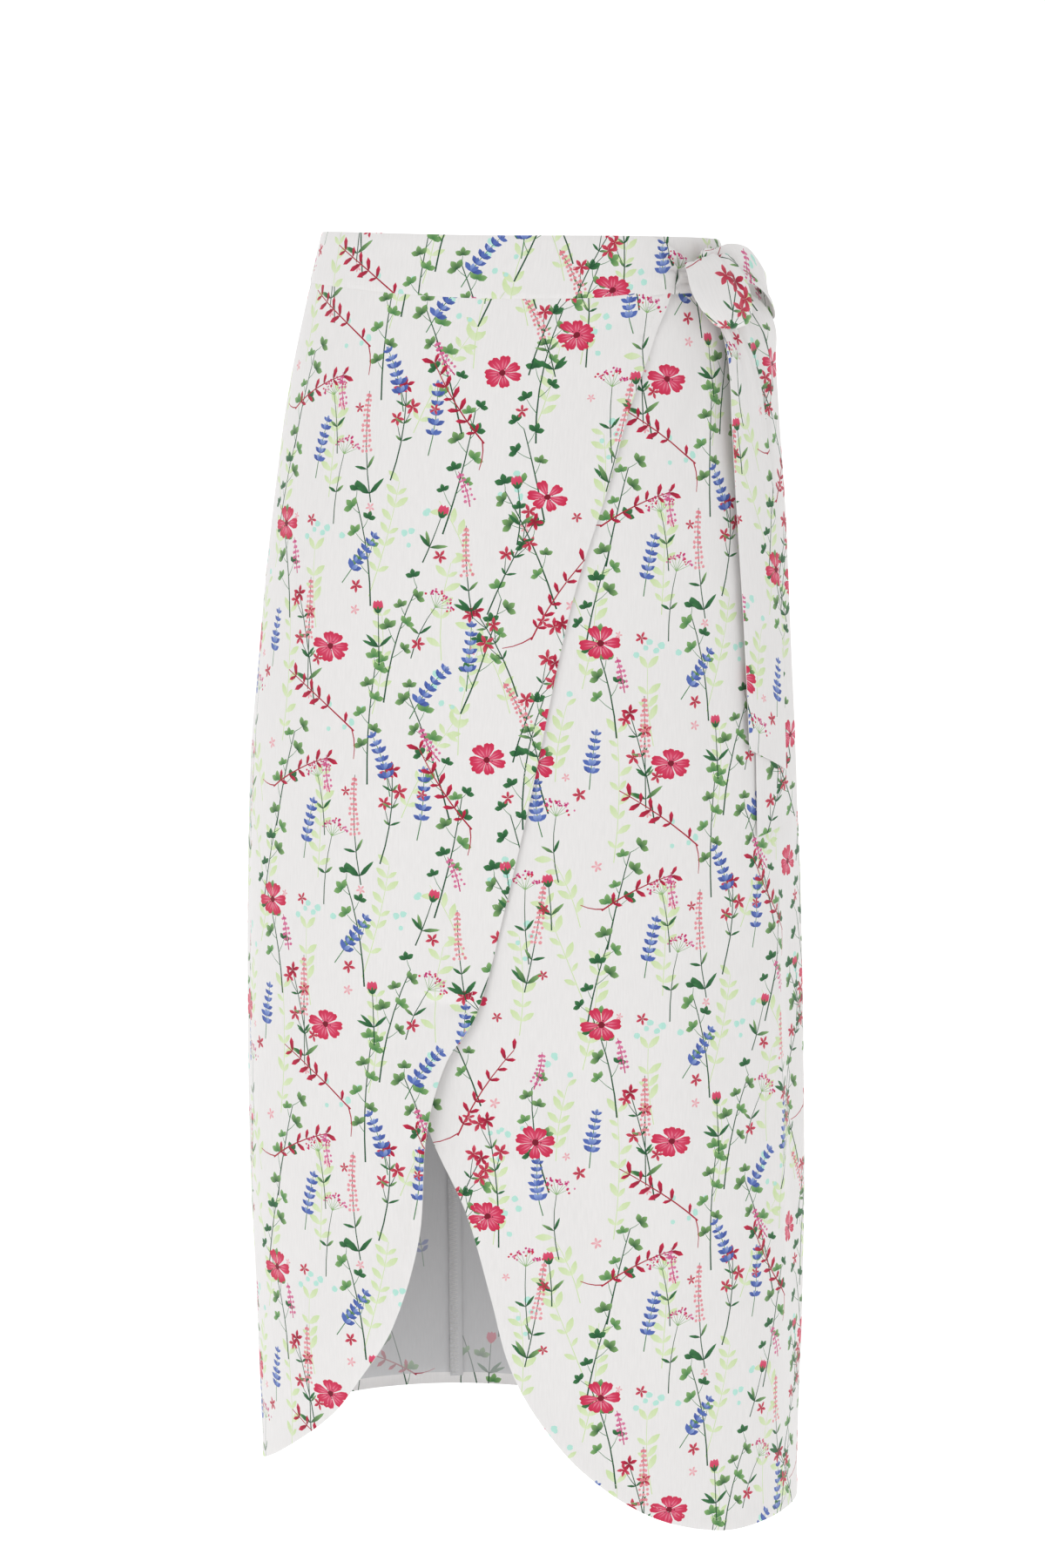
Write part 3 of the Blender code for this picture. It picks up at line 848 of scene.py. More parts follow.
def thread(name, marks):
    """Short lengths of thread, each bent over its middle mark."""
    first, middle, last = marks
    run = last - first
    run /= np.linalg.norm(run, axis=1)[:, None]
    side = np.cross(run, middle - BODY_MIDDLE)
    side /= np.linalg.norm(side, axis=1)[:, None]
    other = np.cross(run, side)
    rings = []
    for mark, radius in ((first, THREAD_END), (middle, THREAD_RADIUS), (last, THREAD_END)):
        for k in range(THREAD_SIDES):
            turn = math.tau * k / THREAD_SIDES
            rings.append(mark + radius * (math.cos(turn) * side + math.sin(turn) * other))
    points = np.stack(rings, 1).reshape(-1, 3)
    faces = [
        (base + k, base + (k + 1) % THREAD_SIDES, base + THREAD_SIDES + (k + 1) % THREAD_SIDES,
         base + THREAD_SIDES + k)
        for start in range(0, len(points), 3 * THREAD_SIDES)
        for base in (start, start + THREAD_SIDES)
        for k in range(THREAD_SIDES)
    ]
    return new_piece(name, points, faces, thread_material)


thread_material = sewing_thread()


def worn(slot, *pieces):
    for piece in pieces:
        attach(piece, "root")


def sew_piece(node, slot, outline, place, repeat_at, hem=None,
              lined=False, thickness=LAYER, stitched=None):
    """Makes one piece from its flat outline: place sets flat points on the form, at the cloth's
    outer face or this much inside it. A lined piece is of two layers, printed on both sides."""
    face_step, wrong_step = (FINE_MESH, FINE_MESH) if lined else (FACE_MESH, WRONG_SIDE_MESH)
    outline = resampled(np.vstack([outline, outline[:1]]), EDGE_STEP)[:-1]
    low, size = outline.min(0), np.ptp(outline, axis=0)
    name = node + "_cloth"
    material = woven_cloth(name)
    flat, triangles, number, centre, _ = lay_print(outline, face_step, repeat_at, False)
    colours = inked(flat, triangles, number, centre, CLOTH_WHITE, np.ones(len(triangles)))
    face = cloth_mesh(name, flat, triangles, place(flat, 0.0), colours, low, size, material)

    flat, triangles, number, centre, in_hem = lay_print(
        outline, wrong_step, repeat_at, not lined, hem
    )
    strength = np.where(in_hem, 1.0, 1.0 if lined else SHOWS_THROUGH)
    # Single-layer pieces get their wrong side's bare cloth painted grey, as painted shade inside
    # the skirt.
    bare = CLOTH_WHITE if lined else WRONG_SIDE_SHADE_GREY
    colours = inked(flat, triangles, number, centre, bare, strength)
    colours[(number < 0) & in_hem] = CLOTH_WHITE
    rim, count = len(outline), len(flat)
    ring = np.arange(rim)
    after = (ring + 1) % rim
    walls = count + np.concatenate([
        np.stack([ring, after, rim + after], 1),
        np.stack([ring, rim + after, rim + ring], 1),
    ])
    if anticlockwise(outline) is outline:
        walls = walls[:, ::-1]
    wrong = cloth_mesh(
        name + "_wrong_side",
        np.concatenate([flat, outline, outline]),
        np.concatenate([triangles[:, ::-1], walls]),
        np.concatenate([place(flat, thickness), place(outline, 0.0), place(outline, thickness)]),
        np.concatenate([colours[:, ::-1], plain(len(walls), CLOTH_WHITE)]),
        low, size, material,
    )
    along = [wrong]
    if stitched is not None:
        along.append(thread(name + "_stitches", straight_stitches(stitched, place)))
    worn(slot, face, *along)
    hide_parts(node)


# ------------------------------------------------------------
# The drape: soft ridges and troughs listed for each piece, and a slight slow swell that all
# the layers share, so that they lie in each other.
# ------------------------------------------------------------
Crease = namedtuple("Crease", "angle1 height1 angle2 height2 width depth")
Swell = namedtuple("Swell", "waves lag depth")
SWELLS = (
    Swell(5, 20.0, 0.6 * MM),
    Swell(8, 75.0, 0.5 * MM),
    Swell(13, 140.0, 0.3 * MM),
)
SWELL_FROM, SWELL_FULL = -0.10, -0.75
SWELL_TWIST = 50.0  # how far the swell turns round the body in a metre of height
FADES_IN, FADES_OUT = 0.22, 0.45  # shares of a crease
STITCH_IN = 1.0 * MM  # from the stitching to the turned hem's inner fold
HEM_THICK, HEM_DIP, HEM_CURL = 0.35 * MM, 0.35 * MM, 0.25 * MM
SEAM_DIP, SEAM_REACH = 0.55 * MM, 2.2 * MM
FAR = 9.0


def swell(angle, height):
    grown = smooth((SWELL_FROM - height) / (SWELL_FROM - SWELL_FULL))
    return grown * sum(
        s.depth * np.sin(np.radians(s.waves * angle + s.lag + SWELL_TWIST * height)) for s in SWELLS
    )


def hollow(away, width):
    """A soft bell, 1 in its middle and fading to nothing about twice this width away."""
    return np.exp(-((away / width) ** 2))


def line_distance(flat, start, end):
    """Distance from a straight line, and how far along it, from 0 to 1."""
    run = end - start
    length = np.linalg.norm(run)
    way = run / length
    beside = (flat - start) @ np.array([way[1], -way[0]])
    return beside, (flat - start) @ way / length


def creased(flat, creases, middle):
    out = np.zeros(len(flat))
    for crease in creases:
        ends = to_flat([crease.angle1, crease.angle2], [crease.height1, crease.height2], middle)
        beside, share = line_distance(flat, ends[0], ends[1])
        fading = smooth(share / FADES_IN) * smooth((1.0 - share) / FADES_OUT)
        out += crease.depth * hollow(beside, crease.width) * fading
    return out


def edge_distance(flat, line):
    """The distance to the nearest point of a line of flat points."""
    nearest = np.full(len(flat), FAR)
    for a, b in zip(line, line[1:]):
        run = b - a
        share = np.clip(((flat - a) @ run) / (run @ run), 0, 1)[:, None]
        nearest = np.minimum(nearest, np.linalg.norm(flat - a - share * run, axis=1))
    return nearest


def hem_roll(flat, line):
    """The narrow turned hem: the cloth is thicker there, with a shallow dip along its stitching."""
    away = edge_distance(flat, line)
    thick = HEM_THICK * (1.0 - smooth((away - TURNED_HEM) / (1.5 * MM)))
    dip = -HEM_DIP * hollow(away - TURNED_HEM + STITCH_IN, 0.9 * MM)
    curl = -HEM_CURL * hollow(away, 1.2 * MM)
    return thick + dip + curl


def seam_dip(flat, *lines):
    """The cloth is drawn in a little along a seam."""
    out = np.zeros(len(flat))
    for line in lines:
        out -= SEAM_DIP * hollow(edge_distance(flat, line), SEAM_REACH)
    return out


def inset_line(line, depth):
    """A line moved to its left by this much."""
    run = np.gradient(line, axis=0)
    run /= np.linalg.norm(run, axis=1)[:, None]
    return line + depth * np.stack([-run[:, 1], run[:, 0]], 1)


# ------------------------------------------------------------
# Under front: the wide panel that lies next to the body, cut in one with a rounded free edge which
# becomes its hem. It is seamed to the left back and to the band, and hangs below everything else.
# ------------------------------------------------------------
EdgePoint = namedtuple("EdgePoint", "angle height")
UNDER_EDGE = (
    EdgePoint(-61.0, -0.0180),
    EdgePoint(-50.0, -0.1900),
    EdgePoint(-40.0, -0.3300),
    EdgePoint(-31.0, -0.4400),
    EdgePoint(-19.0, -0.5720),
    EdgePoint(-11.5, -0.6260),
    EdgePoint(-6.5, -0.6830),
    EdgePoint(-3.0, -0.7260),
    EdgePoint(3.0, -0.7640),
    EdgePoint(12.5, -0.8020),
    EdgePoint(26.5, -0.8340),
    EdgePoint(43.0, -0.8490),
    EdgePoint(59.0, -0.8490),
    EdgePoint(79.0, -0.8480),
    EdgePoint(95.0, -0.8470),
)
UNDER_OUT = 1.0 * MM
UNDER_MIDDLE = 5.0
UNDER_HIDDEN, UNDER_SHOWN = -22.0, -16.0  # its creases begin where it comes out
UNDER_REPEAT_AT = np.array([0.031, -0.012])
TUCKED_IN = 5.0 * MM  # how far the panels go up inside the band
UNDER_CREASES = (
    Crease(60.0, -0.400, 66.5, -0.800, 8.0 * MM, 2.6 * MM),
    Crease(69.5, -0.380, 75.5, -0.760, 9.0 * MM, -2.2 * MM),
    Crease(2.0, -0.520, 6.5, -0.730, 6.0 * MM, 1.5 * MM),
    Crease(10.0, -0.500, 14.0, -0.700, 7.0 * MM, -1.2 * MM),
    Crease(33.0, -0.420, 30.0, -0.840, 12.0 * MM, 1.6 * MM),
    Crease(42.0, -0.200, 45.0, -0.600, 12.0 * MM, -1.2 * MM),
    Crease(84.0, -0.300, 86.0, -0.840, 9.0 * MM, 1.8 * MM),
    Crease(52.0, -0.055, 34.0, -0.150, 7.0 * MM, -1.4 * MM),
    Crease(50.0, -0.050, 43.0, -0.190, 6.0 * MM, 1.2 * MM),
    Crease(-14.0, -0.560, 8.0, -0.620, 7.0 * MM, 0.9 * MM),
    Crease(20.0, -0.690, 60.0, -0.715, 9.0 * MM, 0.5 * MM),
    Crease(25.0, -0.470, 58.0, -0.455, 8.0 * MM, -0.5 * MM),
)


def edge_line(edge):
    """A free edge as closely spaced angles and heights on its smooth curve."""
    marks = on_form([p.angle for p in edge], [p.height for p in edge])
    along = np.concatenate([[0], np.cumsum(np.linalg.norm(np.diff(marks, axis=0), axis=1))])
    return through(along, edge, np.arange(0.0, along[-1] + EDGE_STEP / 2, EDGE_STEP))


def level_line(start, end, height_at, step=1.0):
    angles = np.linspace(start, end, max(2, round(abs(end - start) / step) + 1))
    return np.stack([angles, height_at(angles)], 1)


def drop_line(angle, top, foot):
    heights = np.linspace(top, foot, round(abs(top - foot) / (5 * MM)) + 1)
    return np.stack([np.full(len(heights), angle), heights], 1)


def flat_line(line, middle):
    return to_flat(line[:, 0], line[:, 1], middle)


def panel_top(angle):
    return band_foot(angle) + TUCKED_IN


under_free = flat_line(edge_line(UNDER_EDGE), UNDER_MIDDLE)
under_seam = flat_line(
    drop_line(RIGHT_SEAM, panel_top(RIGHT_SEAM), UNDER_EDGE[-1].height), UNDER_MIDDLE
)
under_top = flat_line(level_line(RIGHT_SEAM, UNDER_EDGE[0].angle, panel_top), UNDER_MIDDLE)
under_outline = np.vstack([under_free, under_seam[::-1][1:], under_top[1:]])


def place_under(flat, inwards):
    angle = from_flat(flat, UNDER_MIDDLE)
    height = flat[:, 1]
    shown = smooth((angle - UNDER_HIDDEN) / (UNDER_SHOWN - UNDER_HIDDEN))
    out = (
        UNDER_OUT - inwards + swell(angle, height)
        + creased(flat, UNDER_CREASES, UNDER_MIDDLE) * shown
        + hem_roll(flat, under_free) + seam_dip(flat, under_seam)
    )
    return on_form(angle, height, out)


under_hem = np.vstack([
    inset_line(under_free, TURNED_HEM)[2:-2], under_seam[::-1][4:], under_top[1:-3]
])
sew_piece(
    "front_under", "panel_cloth", under_outline, place_under, UNDER_REPEAT_AT,
    under_hem,
    stitched=inset_line(under_free, TURNED_HEM - STITCH_IN),
)


# ------------------------------------------------------------
# Over front: the panel on top. It crosses from the left seam to the knot, its free edge falls away
# in a long curve and rounds into its hem, and its lower corner stands a little off the under front.
# ------------------------------------------------------------
OVER_EDGE = (
    EdgePoint(41.5, -0.0200),
    EdgePoint(34.5, -0.0470),
    EdgePoint(25.0, -0.0950),
    EdgePoint(19.0, -0.1450),
    EdgePoint(10.0, -0.2270),
    EdgePoint(1.0, -0.3600),
    EdgePoint(-3.0, -0.4170),
    EdgePoint(-9.0, -0.4930),
    EdgePoint(-15.0, -0.5260),
    EdgePoint(-18.5, -0.5720),
    EdgePoint(-20.5, -0.6440),
    EdgePoint(-26.5, -0.7040),
    EdgePoint(-34.5, -0.7410),
    EdgePoint(-43.0, -0.7700),
    EdgePoint(-58.0, -0.7975),
    EdgePoint(-75.0, -0.8150),
    EdgePoint(-95.0, -0.8235),
)
OVER_OUT = 3.5 * MM
OVER_CLEAR_BY = -70.0
CORNER_LIFT, CORNER_REACH = 5.0 * MM, 75.0 * MM
CORNER_FROM, CORNER_FULL, CORNER_FALLS, CORNER_ENDS = -0.44, -0.56, -0.68, -0.78
OVER_MIDDLE = -20.0
OVER_REPEAT_AT = np.array([-0.118, 0.064])
OVER_CREASES = (
    Crease(45.0, -0.022, 26.0, -0.075, 4.5 * MM, -1.1 * MM),
    Crease(44.0, -0.020, 16.0, -0.082, 5.0 * MM, 1.3 * MM),
    Crease(43.0, -0.020, 8.0, -0.066, 5.0 * MM, -1.0 * MM),
    Crease(40.0, -0.018, -6.0, -0.060, 6.0 * MM, 0.8 * MM),
    Crease(30.0, -0.060, 12.0, -0.170, 7.0 * MM, 1.1 * MM),
    Crease(20.0, -0.060, -4.0, -0.230, 9.0 * MM, -0.9 * MM),
    Crease(-7.5, -0.488, -27.0, -0.487, 4.0 * MM, -1.5 * MM),
    Crease(-8.0, -0.480, -24.0, -0.474, 5.0 * MM, 1.2 * MM),
    Crease(-16.5, -0.520, -24.0, -0.690, 4.5 * MM, 2.2 * MM),
    Crease(-21.5, -0.560, -29.0, -0.710, 5.0 * MM, -1.8 * MM),
    Crease(-36.0, -0.420, -38.0, -0.740, 10.0 * MM, 1.2 * MM),
    Crease(-52.0, -0.250, -50.0, -0.620, 12.0 * MM, -1.2 * MM),
    Crease(-66.0, -0.380, -68.0, -0.800, 10.0 * MM, 1.6 * MM),
    Crease(-82.0, -0.220, -84.0, -0.790, 9.0 * MM, -1.6 * MM),
    Crease(-20.0, -0.350, -60.0, -0.335, 9.0 * MM, 0.5 * MM),
    Crease(-50.0, -0.610, -90.0, -0.600, 8.0 * MM, 0.5 * MM),
)

over_free = flat_line(edge_line(OVER_EDGE), OVER_MIDDLE)
over_seam = flat_line(
    drop_line(LEFT_SEAM, OVER_EDGE[-1].height, panel_top(LEFT_SEAM)), OVER_MIDDLE
)
over_top = flat_line(level_line(LEFT_SEAM, OVER_EDGE[0].angle, panel_top), OVER_MIDDLE)
over_outline = np.vstack([over_free, over_seam[1:], over_top[1:-1]])
over_hem = np.vstack([
    inset_line(over_free, -TURNED_HEM)[2:-2], over_seam[4:], over_top[1:-3]
])


def over_clear(angle):
    return smooth((angle - LEFT_SEAM) / (OVER_CLEAR_BY - LEFT_SEAM))


def place_over(flat, inwards):
    angle = from_flat(flat, OVER_MIDDLE)
    height = flat[:, 1]
    low_down = smooth((CORNER_FROM - height) / (CORNER_FROM - CORNER_FULL))
    low_down = low_down * (1.0 - smooth((CORNER_FALLS - height) / (CORNER_FALLS - CORNER_ENDS)))
    near_edge = 1.0 - smooth(edge_distance(flat, over_free) / CORNER_REACH)
    out = (
        UNDER_OUT + (OVER_OUT - UNDER_OUT) * over_clear(angle) - inwards + swell(angle, height)
        + CORNER_LIFT * near_edge * low_down
        + creased(flat, OVER_CREASES, OVER_MIDDLE)
        + hem_roll(flat, over_free) + seam_dip(flat, over_seam)
    )
    return on_form(angle, height, out)


sew_piece(
    "front_over", "panel_cloth", over_outline, place_over, OVER_REPEAT_AT,
    over_hem,
    stitched=inset_line(over_free, -TURNED_HEM + STITCH_IN),
)


# ------------------------------------------------------------
# Backs: two panels seamed to the fronts at the sides and to each other down the back, hung from
# the band. Their straight turned hem is shorter than the fronts', so it shows between them.
# ------------------------------------------------------------
BACK_HEM = (
    EdgePoint(95.0, -0.8470),
    EdgePoint(120.0, -0.8320),
    EdgePoint(150.0, -0.8150),
    EdgePoint(180.0, -0.8060),
    EdgePoint(210.0, -0.8020),
    EdgePoint(240.0, -0.8080),
    EdgePoint(265.0, -0.8235),
)
BackPanel = namedtuple("BackPanel", "name start end middle repeat_at")
BACKS = (
    BackPanel("back_left", RIGHT_SEAM, BACK_SEAM, 145.0, np.array([0.052, 0.021])),
    BackPanel("back_right", BACK_SEAM, LEFT_SEAM + FULL_TURN, 229.0, np.array([-0.073, 0.118])),
)
BACK_CREASES = (
    Crease(108.0, -0.260, 106.0, -0.810, 10.0 * MM, 1.9 * MM),
    Crease(121.0, -0.430, 124.0, -0.835, 9.0 * MM, -1.8 * MM),
    Crease(137.0, -0.310, 134.0, -0.780, 12.0 * MM, 2.4 * MM),
    Crease(158.0, -0.390, 161.0, -0.815, 11.0 * MM, -2.0 * MM),
    Crease(176.0, -0.240, 173.0, -0.700, 13.0 * MM, 1.8 * MM),
    Crease(207.0, -0.340, 209.0, -0.800, 10.0 * MM, 2.1 * MM),
    Crease(223.0, -0.270, 220.0, -0.760, 12.0 * MM, -1.9 * MM),
    Crease(241.0, -0.420, 244.0, -0.810, 9.0 * MM, 2.3 * MM),
    Crease(254.0, -0.200, 252.0, -0.690, 11.0 * MM, -1.3 * MM),
    Crease(168.0, -0.130, 220.0, -0.142, 9.0 * MM, 0.6 * MM),
    Crease(118.0, -0.100, 160.0, -0.122, 8.0 * MM, -0.6 * MM),
)


def back_hem(angle):
    return through([p.angle for p in BACK_HEM], [[p.height] for p in BACK_HEM], angle)[..., 0]


for back in BACKS:
    hem_line = flat_line(level_line(back.start, back.end, back_hem, 0.7), back.middle)
    far_seam = flat_line(drop_line(back.end, back_hem(back.end), panel_top(back.end)), back.middle)
    top_line = flat_line(level_line(back.end, back.start, panel_top), back.middle)
    near_seam = flat_line(
        drop_line(back.start, panel_top(back.start), back_hem(back.start)), back.middle
    )

    def place_back(flat, inwards):
        angle = from_flat(flat, back.middle)
        height = flat[:, 1]
        out = (
            UNDER_OUT - inwards + swell(angle, height)
            + creased(flat, BACK_CREASES, back.middle)
            + hem_roll(flat, hem_line) + seam_dip(flat, far_seam, near_seam)
        )
        return on_form(angle, height, out)

    sew_piece(
        back.name, "panel_cloth",
        np.vstack([hem_line, far_seam[1:], top_line[1:], near_seam[1:-1]]),
        place_back, back.repeat_at,
        np.vstack([inset_line(hem_line, TURNED_HEM), far_seam[4:], top_line[1:], near_seam[1:-3]]),
        stitched=inset_line(hem_line, TURNED_HEM - STITCH_IN),
    )


# ------------------------------------------------------------
# Seam allowances: inside, the two raw edges of each upright seam are overlocked together with a
# zigzag of thread and pressed to one side. They end in the turned hem.
# ------------------------------------------------------------
ALLOWANCE = 6.5 * MM
ALLOWANCE_IN, ALLOWANCE_THICK, ALLOWANCE_FOLD = 1.0 * MM, 0.7 * MM, 0.2 * MM
ALLOWANCE_RINGS = 180
ZIGZAG_IN, ZIGZAG_OUT = 0.35 * ALLOWANCE, 1.02 * ALLOWANCE
ZIGZAG_LOW, ZIGZAG_HIGH = 0.05 * MM, 0.16 * MM
ZIGZAG_PITCH = 3.0 * MM
UprightSeam = namedtuple("UprightSeam", "name angle side foot")
UPRIGHT_SEAMS = (
    UprightSeam("back_seam", BACK_SEAM, 1, -0.797),
    UprightSeam("left_seam", RIGHT_SEAM, 1, -0.840),
    UprightSeam("right_seam", LEFT_SEAM + FULL_TURN, -1, -0.816),
)


def allowance_place(seam, away, height, inwards):
    """Points of the allowance this far from its seam line, and this far inside the form."""
    section = on_form(seam.angle, height)
    radius = np.linalg.norm(section[..., :2], axis=-1)
    angle = seam.angle + seam.side * np.degrees(away / radius)
    return on_form(angle, height, swell(angle, height) - ALLOWANCE_IN - inwards)


for seam in UPRIGHT_SEAMS:
    seam_top = float(band_foot(seam.angle))
    heights = np.linspace(seam_top, seam.foot, ALLOWANCE_RINGS)
    corners = (
        (0.4 * MM, 0.0), (0.0, ALLOWANCE_FOLD), (0.0, ALLOWANCE), (ALLOWANCE_THICK, ALLOWANCE),
        (ALLOWANCE_THICK, ALLOWANCE_FOLD),
    )
    rings = [allowance_place(seam, across, heights, deep) for deep, across in corners]
    count = len(corners)
    points = np.stack(rings, 1).reshape(-1, 3)
    seam_faces = [
        (i * count + k, i * count + (k + 1) % count, (i + 1) * count + (k + 1) % count,
         (i + 1) * count + k)
        for i in range(len(heights) - 1)
        for k in range(count)
    ]
    seam_flat = np.stack(
        [np.tile([across for _, across in corners], len(heights)), np.repeat(heights, count)], 1
    )
    triangles = np.array(
        [tri for a, b, c, d in seam_faces for tri in ((a, b, c), (a, c, d))]
    )[:, ::seam.side]
    # The allowances take the wrong side's grey, which is painted shade for the inside of the skirt.
    allowance = cloth_mesh(
        seam.name + "_allowance", seam_flat, triangles, points,
        plain(len(triangles), WRONG_SIDE_SHADE_GREY), seam_flat.min(0), np.ptp(seam_flat, axis=0),
        woven_cloth(seam.name + "_cloth"),
    )
    turns = np.arange(seam_top, seam.foot, -ZIGZAG_PITCH / 2)
    aside = np.where(np.arange(len(turns)) % 2 == 0, ZIGZAG_IN, ZIGZAG_OUT)
    marks = [
        allowance_place(seam, edge, turn, ALLOWANCE_THICK + lift)
        for edge, turn, lift in (
            (aside[:-1], turns[:-1], ZIGZAG_LOW),
            ((aside[:-1] + aside[1:]) / 2, (turns[:-1] + turns[1:]) / 2, ZIGZAG_HIGH),
            (aside[1:], turns[1:], ZIGZAG_LOW),
        )
    ]
    worn("panel_cloth", allowance, thread(seam.name + "_overlock", marks))


# ------------------------------------------------------------
# Waistband: shaped, in two layers with stiffening between, folded over at its top and seamed to
# the panels. The over part is drawn into gathers where it becomes the tie at the knot.
# ------------------------------------------------------------
UNDER_BAND_END, OVER_BAND_END, OVER_BAND_NARROWS = -62.0, 53.0, 36.0
OVER_BAND_TOP_DROP = 16.0 * MM
BAND_THICK = 1.3 * MM
BAND_OUT, OVER_BAND_OUT = 1.8 * MM, 4.3 * MM
BAND_ROLL, BAND_ROLL_WIDTH = 0.6 * MM, 1.4 * MM
BandPart = namedtuple("BandPart", "name start end repeat_at")
BANDS = (
    BandPart("waistband_under", UNDER_BAND_END, RIGHT_SEAM, np.array([0.085, 0.131])),
    BandPart("waistband_back", RIGHT_SEAM, LEFT_SEAM + FULL_TURN, np.array([0.012, 0.055])),
    BandPart("waistband_over", LEFT_SEAM, OVER_BAND_END, np.array([-0.095, 0.093])),
)
BAND_CREASES = (
    Crease(56.0, -0.010, 36.0, 0.004, 1.7 * MM, -2.2 * MM),
    Crease(56.0, -0.009, 33.0, -0.001, 1.8 * MM, 1.6 * MM),
    Crease(56.0, -0.011, 36.0, -0.009, 1.7 * MM, -2.2 * MM),
    Crease(56.0, -0.012, 30.0, -0.014, 2.0 * MM, 1.2 * MM),
    Crease(56.0, -0.014, 38.0, -0.022, 1.7 * MM, -1.9 * MM),
    Crease(10.0, -0.008, -8.0, -0.004, 6.0 * MM, 0.3 * MM),
    Crease(-30.0, 0.000, -52.0, -0.010, 6.0 * MM, -0.3 * MM),
)


def over_band_top(angle):
    drawn = smooth((angle - OVER_BAND_NARROWS) / (OVER_BAND_END - OVER_BAND_NARROWS))
    return band_top(angle) - OVER_BAND_TOP_DROP * drawn


for band in BANDS:
    over = band.name == "waistband_over"
    band_middle = (band.start + band.end) / 2
    foot_line = flat_line(level_line(band.start, band.end, band_foot), band_middle)
    fold_line = flat_line(
        level_line(band.end, band.start, over_band_top if over else band_top), band_middle
    )

    def place_band(flat, inwards):
        angle = from_flat(flat, band_middle)
        height = flat[:, 1]
        out = BAND_OUT - inwards
        if over:
            out = out + (OVER_BAND_OUT - BAND_OUT) * over_clear(angle)
            out = out + creased(flat, BAND_CREASES, band_middle)
        for line in (foot_line, fold_line):
            roll = BAND_ROLL * hollow(edge_distance(flat, line), BAND_ROLL_WIDTH)
            out = out - roll * (1.0 - 2.0 * inwards / BAND_THICK)
        return on_form(angle, height, out)

    sew_piece(
        band.name, "band_cloth", np.vstack([foot_line, fold_line]), place_band,
        band.repeat_at, lined=True, thickness=BAND_THICK,
    )


# ------------------------------------------------------------
# Ties: the band's two ends go on as flat ties of two layers, turned and pressed, cut off aslant.
# Their free ends hang from the knot, gathered there and flat lower down.
# ------------------------------------------------------------
TIE_WIDTH, TIE_THICK, EDGE_PRESSED = 44.0 * MM, 1.0 * MM, 0.3 * MM
TieRow = namedtuple("TieRow", "height left left_out right right_out")
FRONT_TAIL = (
    TieRow(-0.0140, 53.0, 5.0 * MM, 59.8, 5.2 * MM),
    TieRow(-0.0400, 54.0, 7.0 * MM, 62.0, 8.2 * MM),
    TieRow(-0.0600, 53.5, 9.5 * MM, 64.0, 11.5 * MM),
    TieRow(-0.0800, 52.0, 10.5 * MM, 65.0, 12.5 * MM),
    TieRow(-0.1100, 50.5, 9.5 * MM, 65.5, 11.0 * MM),
    TieRow(-0.1600, 49.8, 7.5 * MM, 66.0, 9.0 * MM),
    TieRow(-0.2500, 50.3, 6.0 * MM, 66.0, 7.5 * MM),
    TieRow(-0.3310, 50.5, 5.5 * MM, 65.5, 6.5 * MM),
)
SIDE_TAIL = (
    TieRow(-0.0140, 60.5, 4.0 * MM, 69.0, 4.6 * MM),
    TieRow(-0.0280, 62.0, 5.0 * MM, 77.0, 19.0 * MM),
    TieRow(-0.0440, 60.0, 6.0 * MM, 83.0, 22.0 * MM),
    TieRow(-0.0680, 59.5, 6.0 * MM, 82.5, 16.0 * MM),
    TieRow(-0.1100, 57.5, 4.5 * MM, 79.0, 11.0 * MM),
    TieRow(-0.1600, 55.5, 3.2 * MM, 76.5, 8.5 * MM),
    TieRow(-0.2500, 54.5, 2.8 * MM, 74.5, 6.5 * MM),
    TieRow(-0.3760, 53.5, 2.8 * MM, 73.5, 6.0 * MM),
)
Tail = namedtuple("Tail", "name rows slant folds repeat_at")
# Folds along a tail: where across it, how wide, how deep, and the height at which they run out.
TailFold = namedtuple("TailFold", "across width depth ends")
TAILS = (
    Tail("tie_tail_front", FRONT_TAIL, 16.0 * MM, (
        TailFold(0.24, 0.10, 2.2 * MM, -0.13),
        TailFold(0.46, 0.09, -2.0 * MM, -0.11),
        TailFold(0.70, 0.10, 2.0 * MM, -0.16),
        TailFold(0.84, 0.07, -1.2 * MM, -0.24),
    ), np.array([0.013, 0.034])),
    Tail("tie_tail_side", SIDE_TAIL, -12.0 * MM, (
        TailFold(0.20, 0.09, 1.6 * MM, -0.12),
        TailFold(0.40, 0.10, -1.8 * MM, -0.15),
        TailFold(0.66, 0.10, 1.6 * MM, -0.20),
    ), np.array([0.097, 0.151])),
)


def pressed_edge(across, width, inwards):
    """How far each layer comes in towards the other at the tie's pressed edges."""
    away = np.minimum(across, 1.0 - across) * width
    return EDGE_PRESSED * hollow(away, MM) * (1.0 - 2.0 * inwards / TIE_THICK)


def tail_place(tail, flat, inwards):
    heights = np.array([row.height for row in tail.rows])
    across = flat[:, 0] / TIE_WIDTH + 0.5
    height = flat[:, 1]
    left, left_out, right, right_out = np.moveaxis(
        through(heights, [row[1:] for row in tail.rows], height), -1, 0
    )
    down = (heights[0] - height) / (heights[0] - heights[-1])
    out = left_out + (right_out - left_out) * across + TIE_THICK / 2 - inwards
    for fold in tail.folds:
        lasting = 1.0 - smooth((heights[0] - height) / (heights[0] - fold.ends))
        out = out + fold.depth * lasting * hollow(across - fold.across, fold.width)
    out = out - pressed_edge(across, TIE_WIDTH, inwards)
    slanted = height - tail.slant * (across - 0.5) * smooth(2.0 * down - 1.0)
    angle = left + (right - left) * across
    return on_form(angle, slanted, out + swell(angle, slanted))


for tail in TAILS:
    half, top, foot = TIE_WIDTH / 2, tail.rows[0].height, tail.rows[-1].height
    sew_piece(
        tail.name, "tie_cloth",
        np.array([(-half, foot), (half, foot), (half, top), (-half, top)]),
        lambda flat, inwards: tail_place(tail, flat, inwards), tail.repeat_at,
        lined=True, thickness=TIE_THICK,
    )


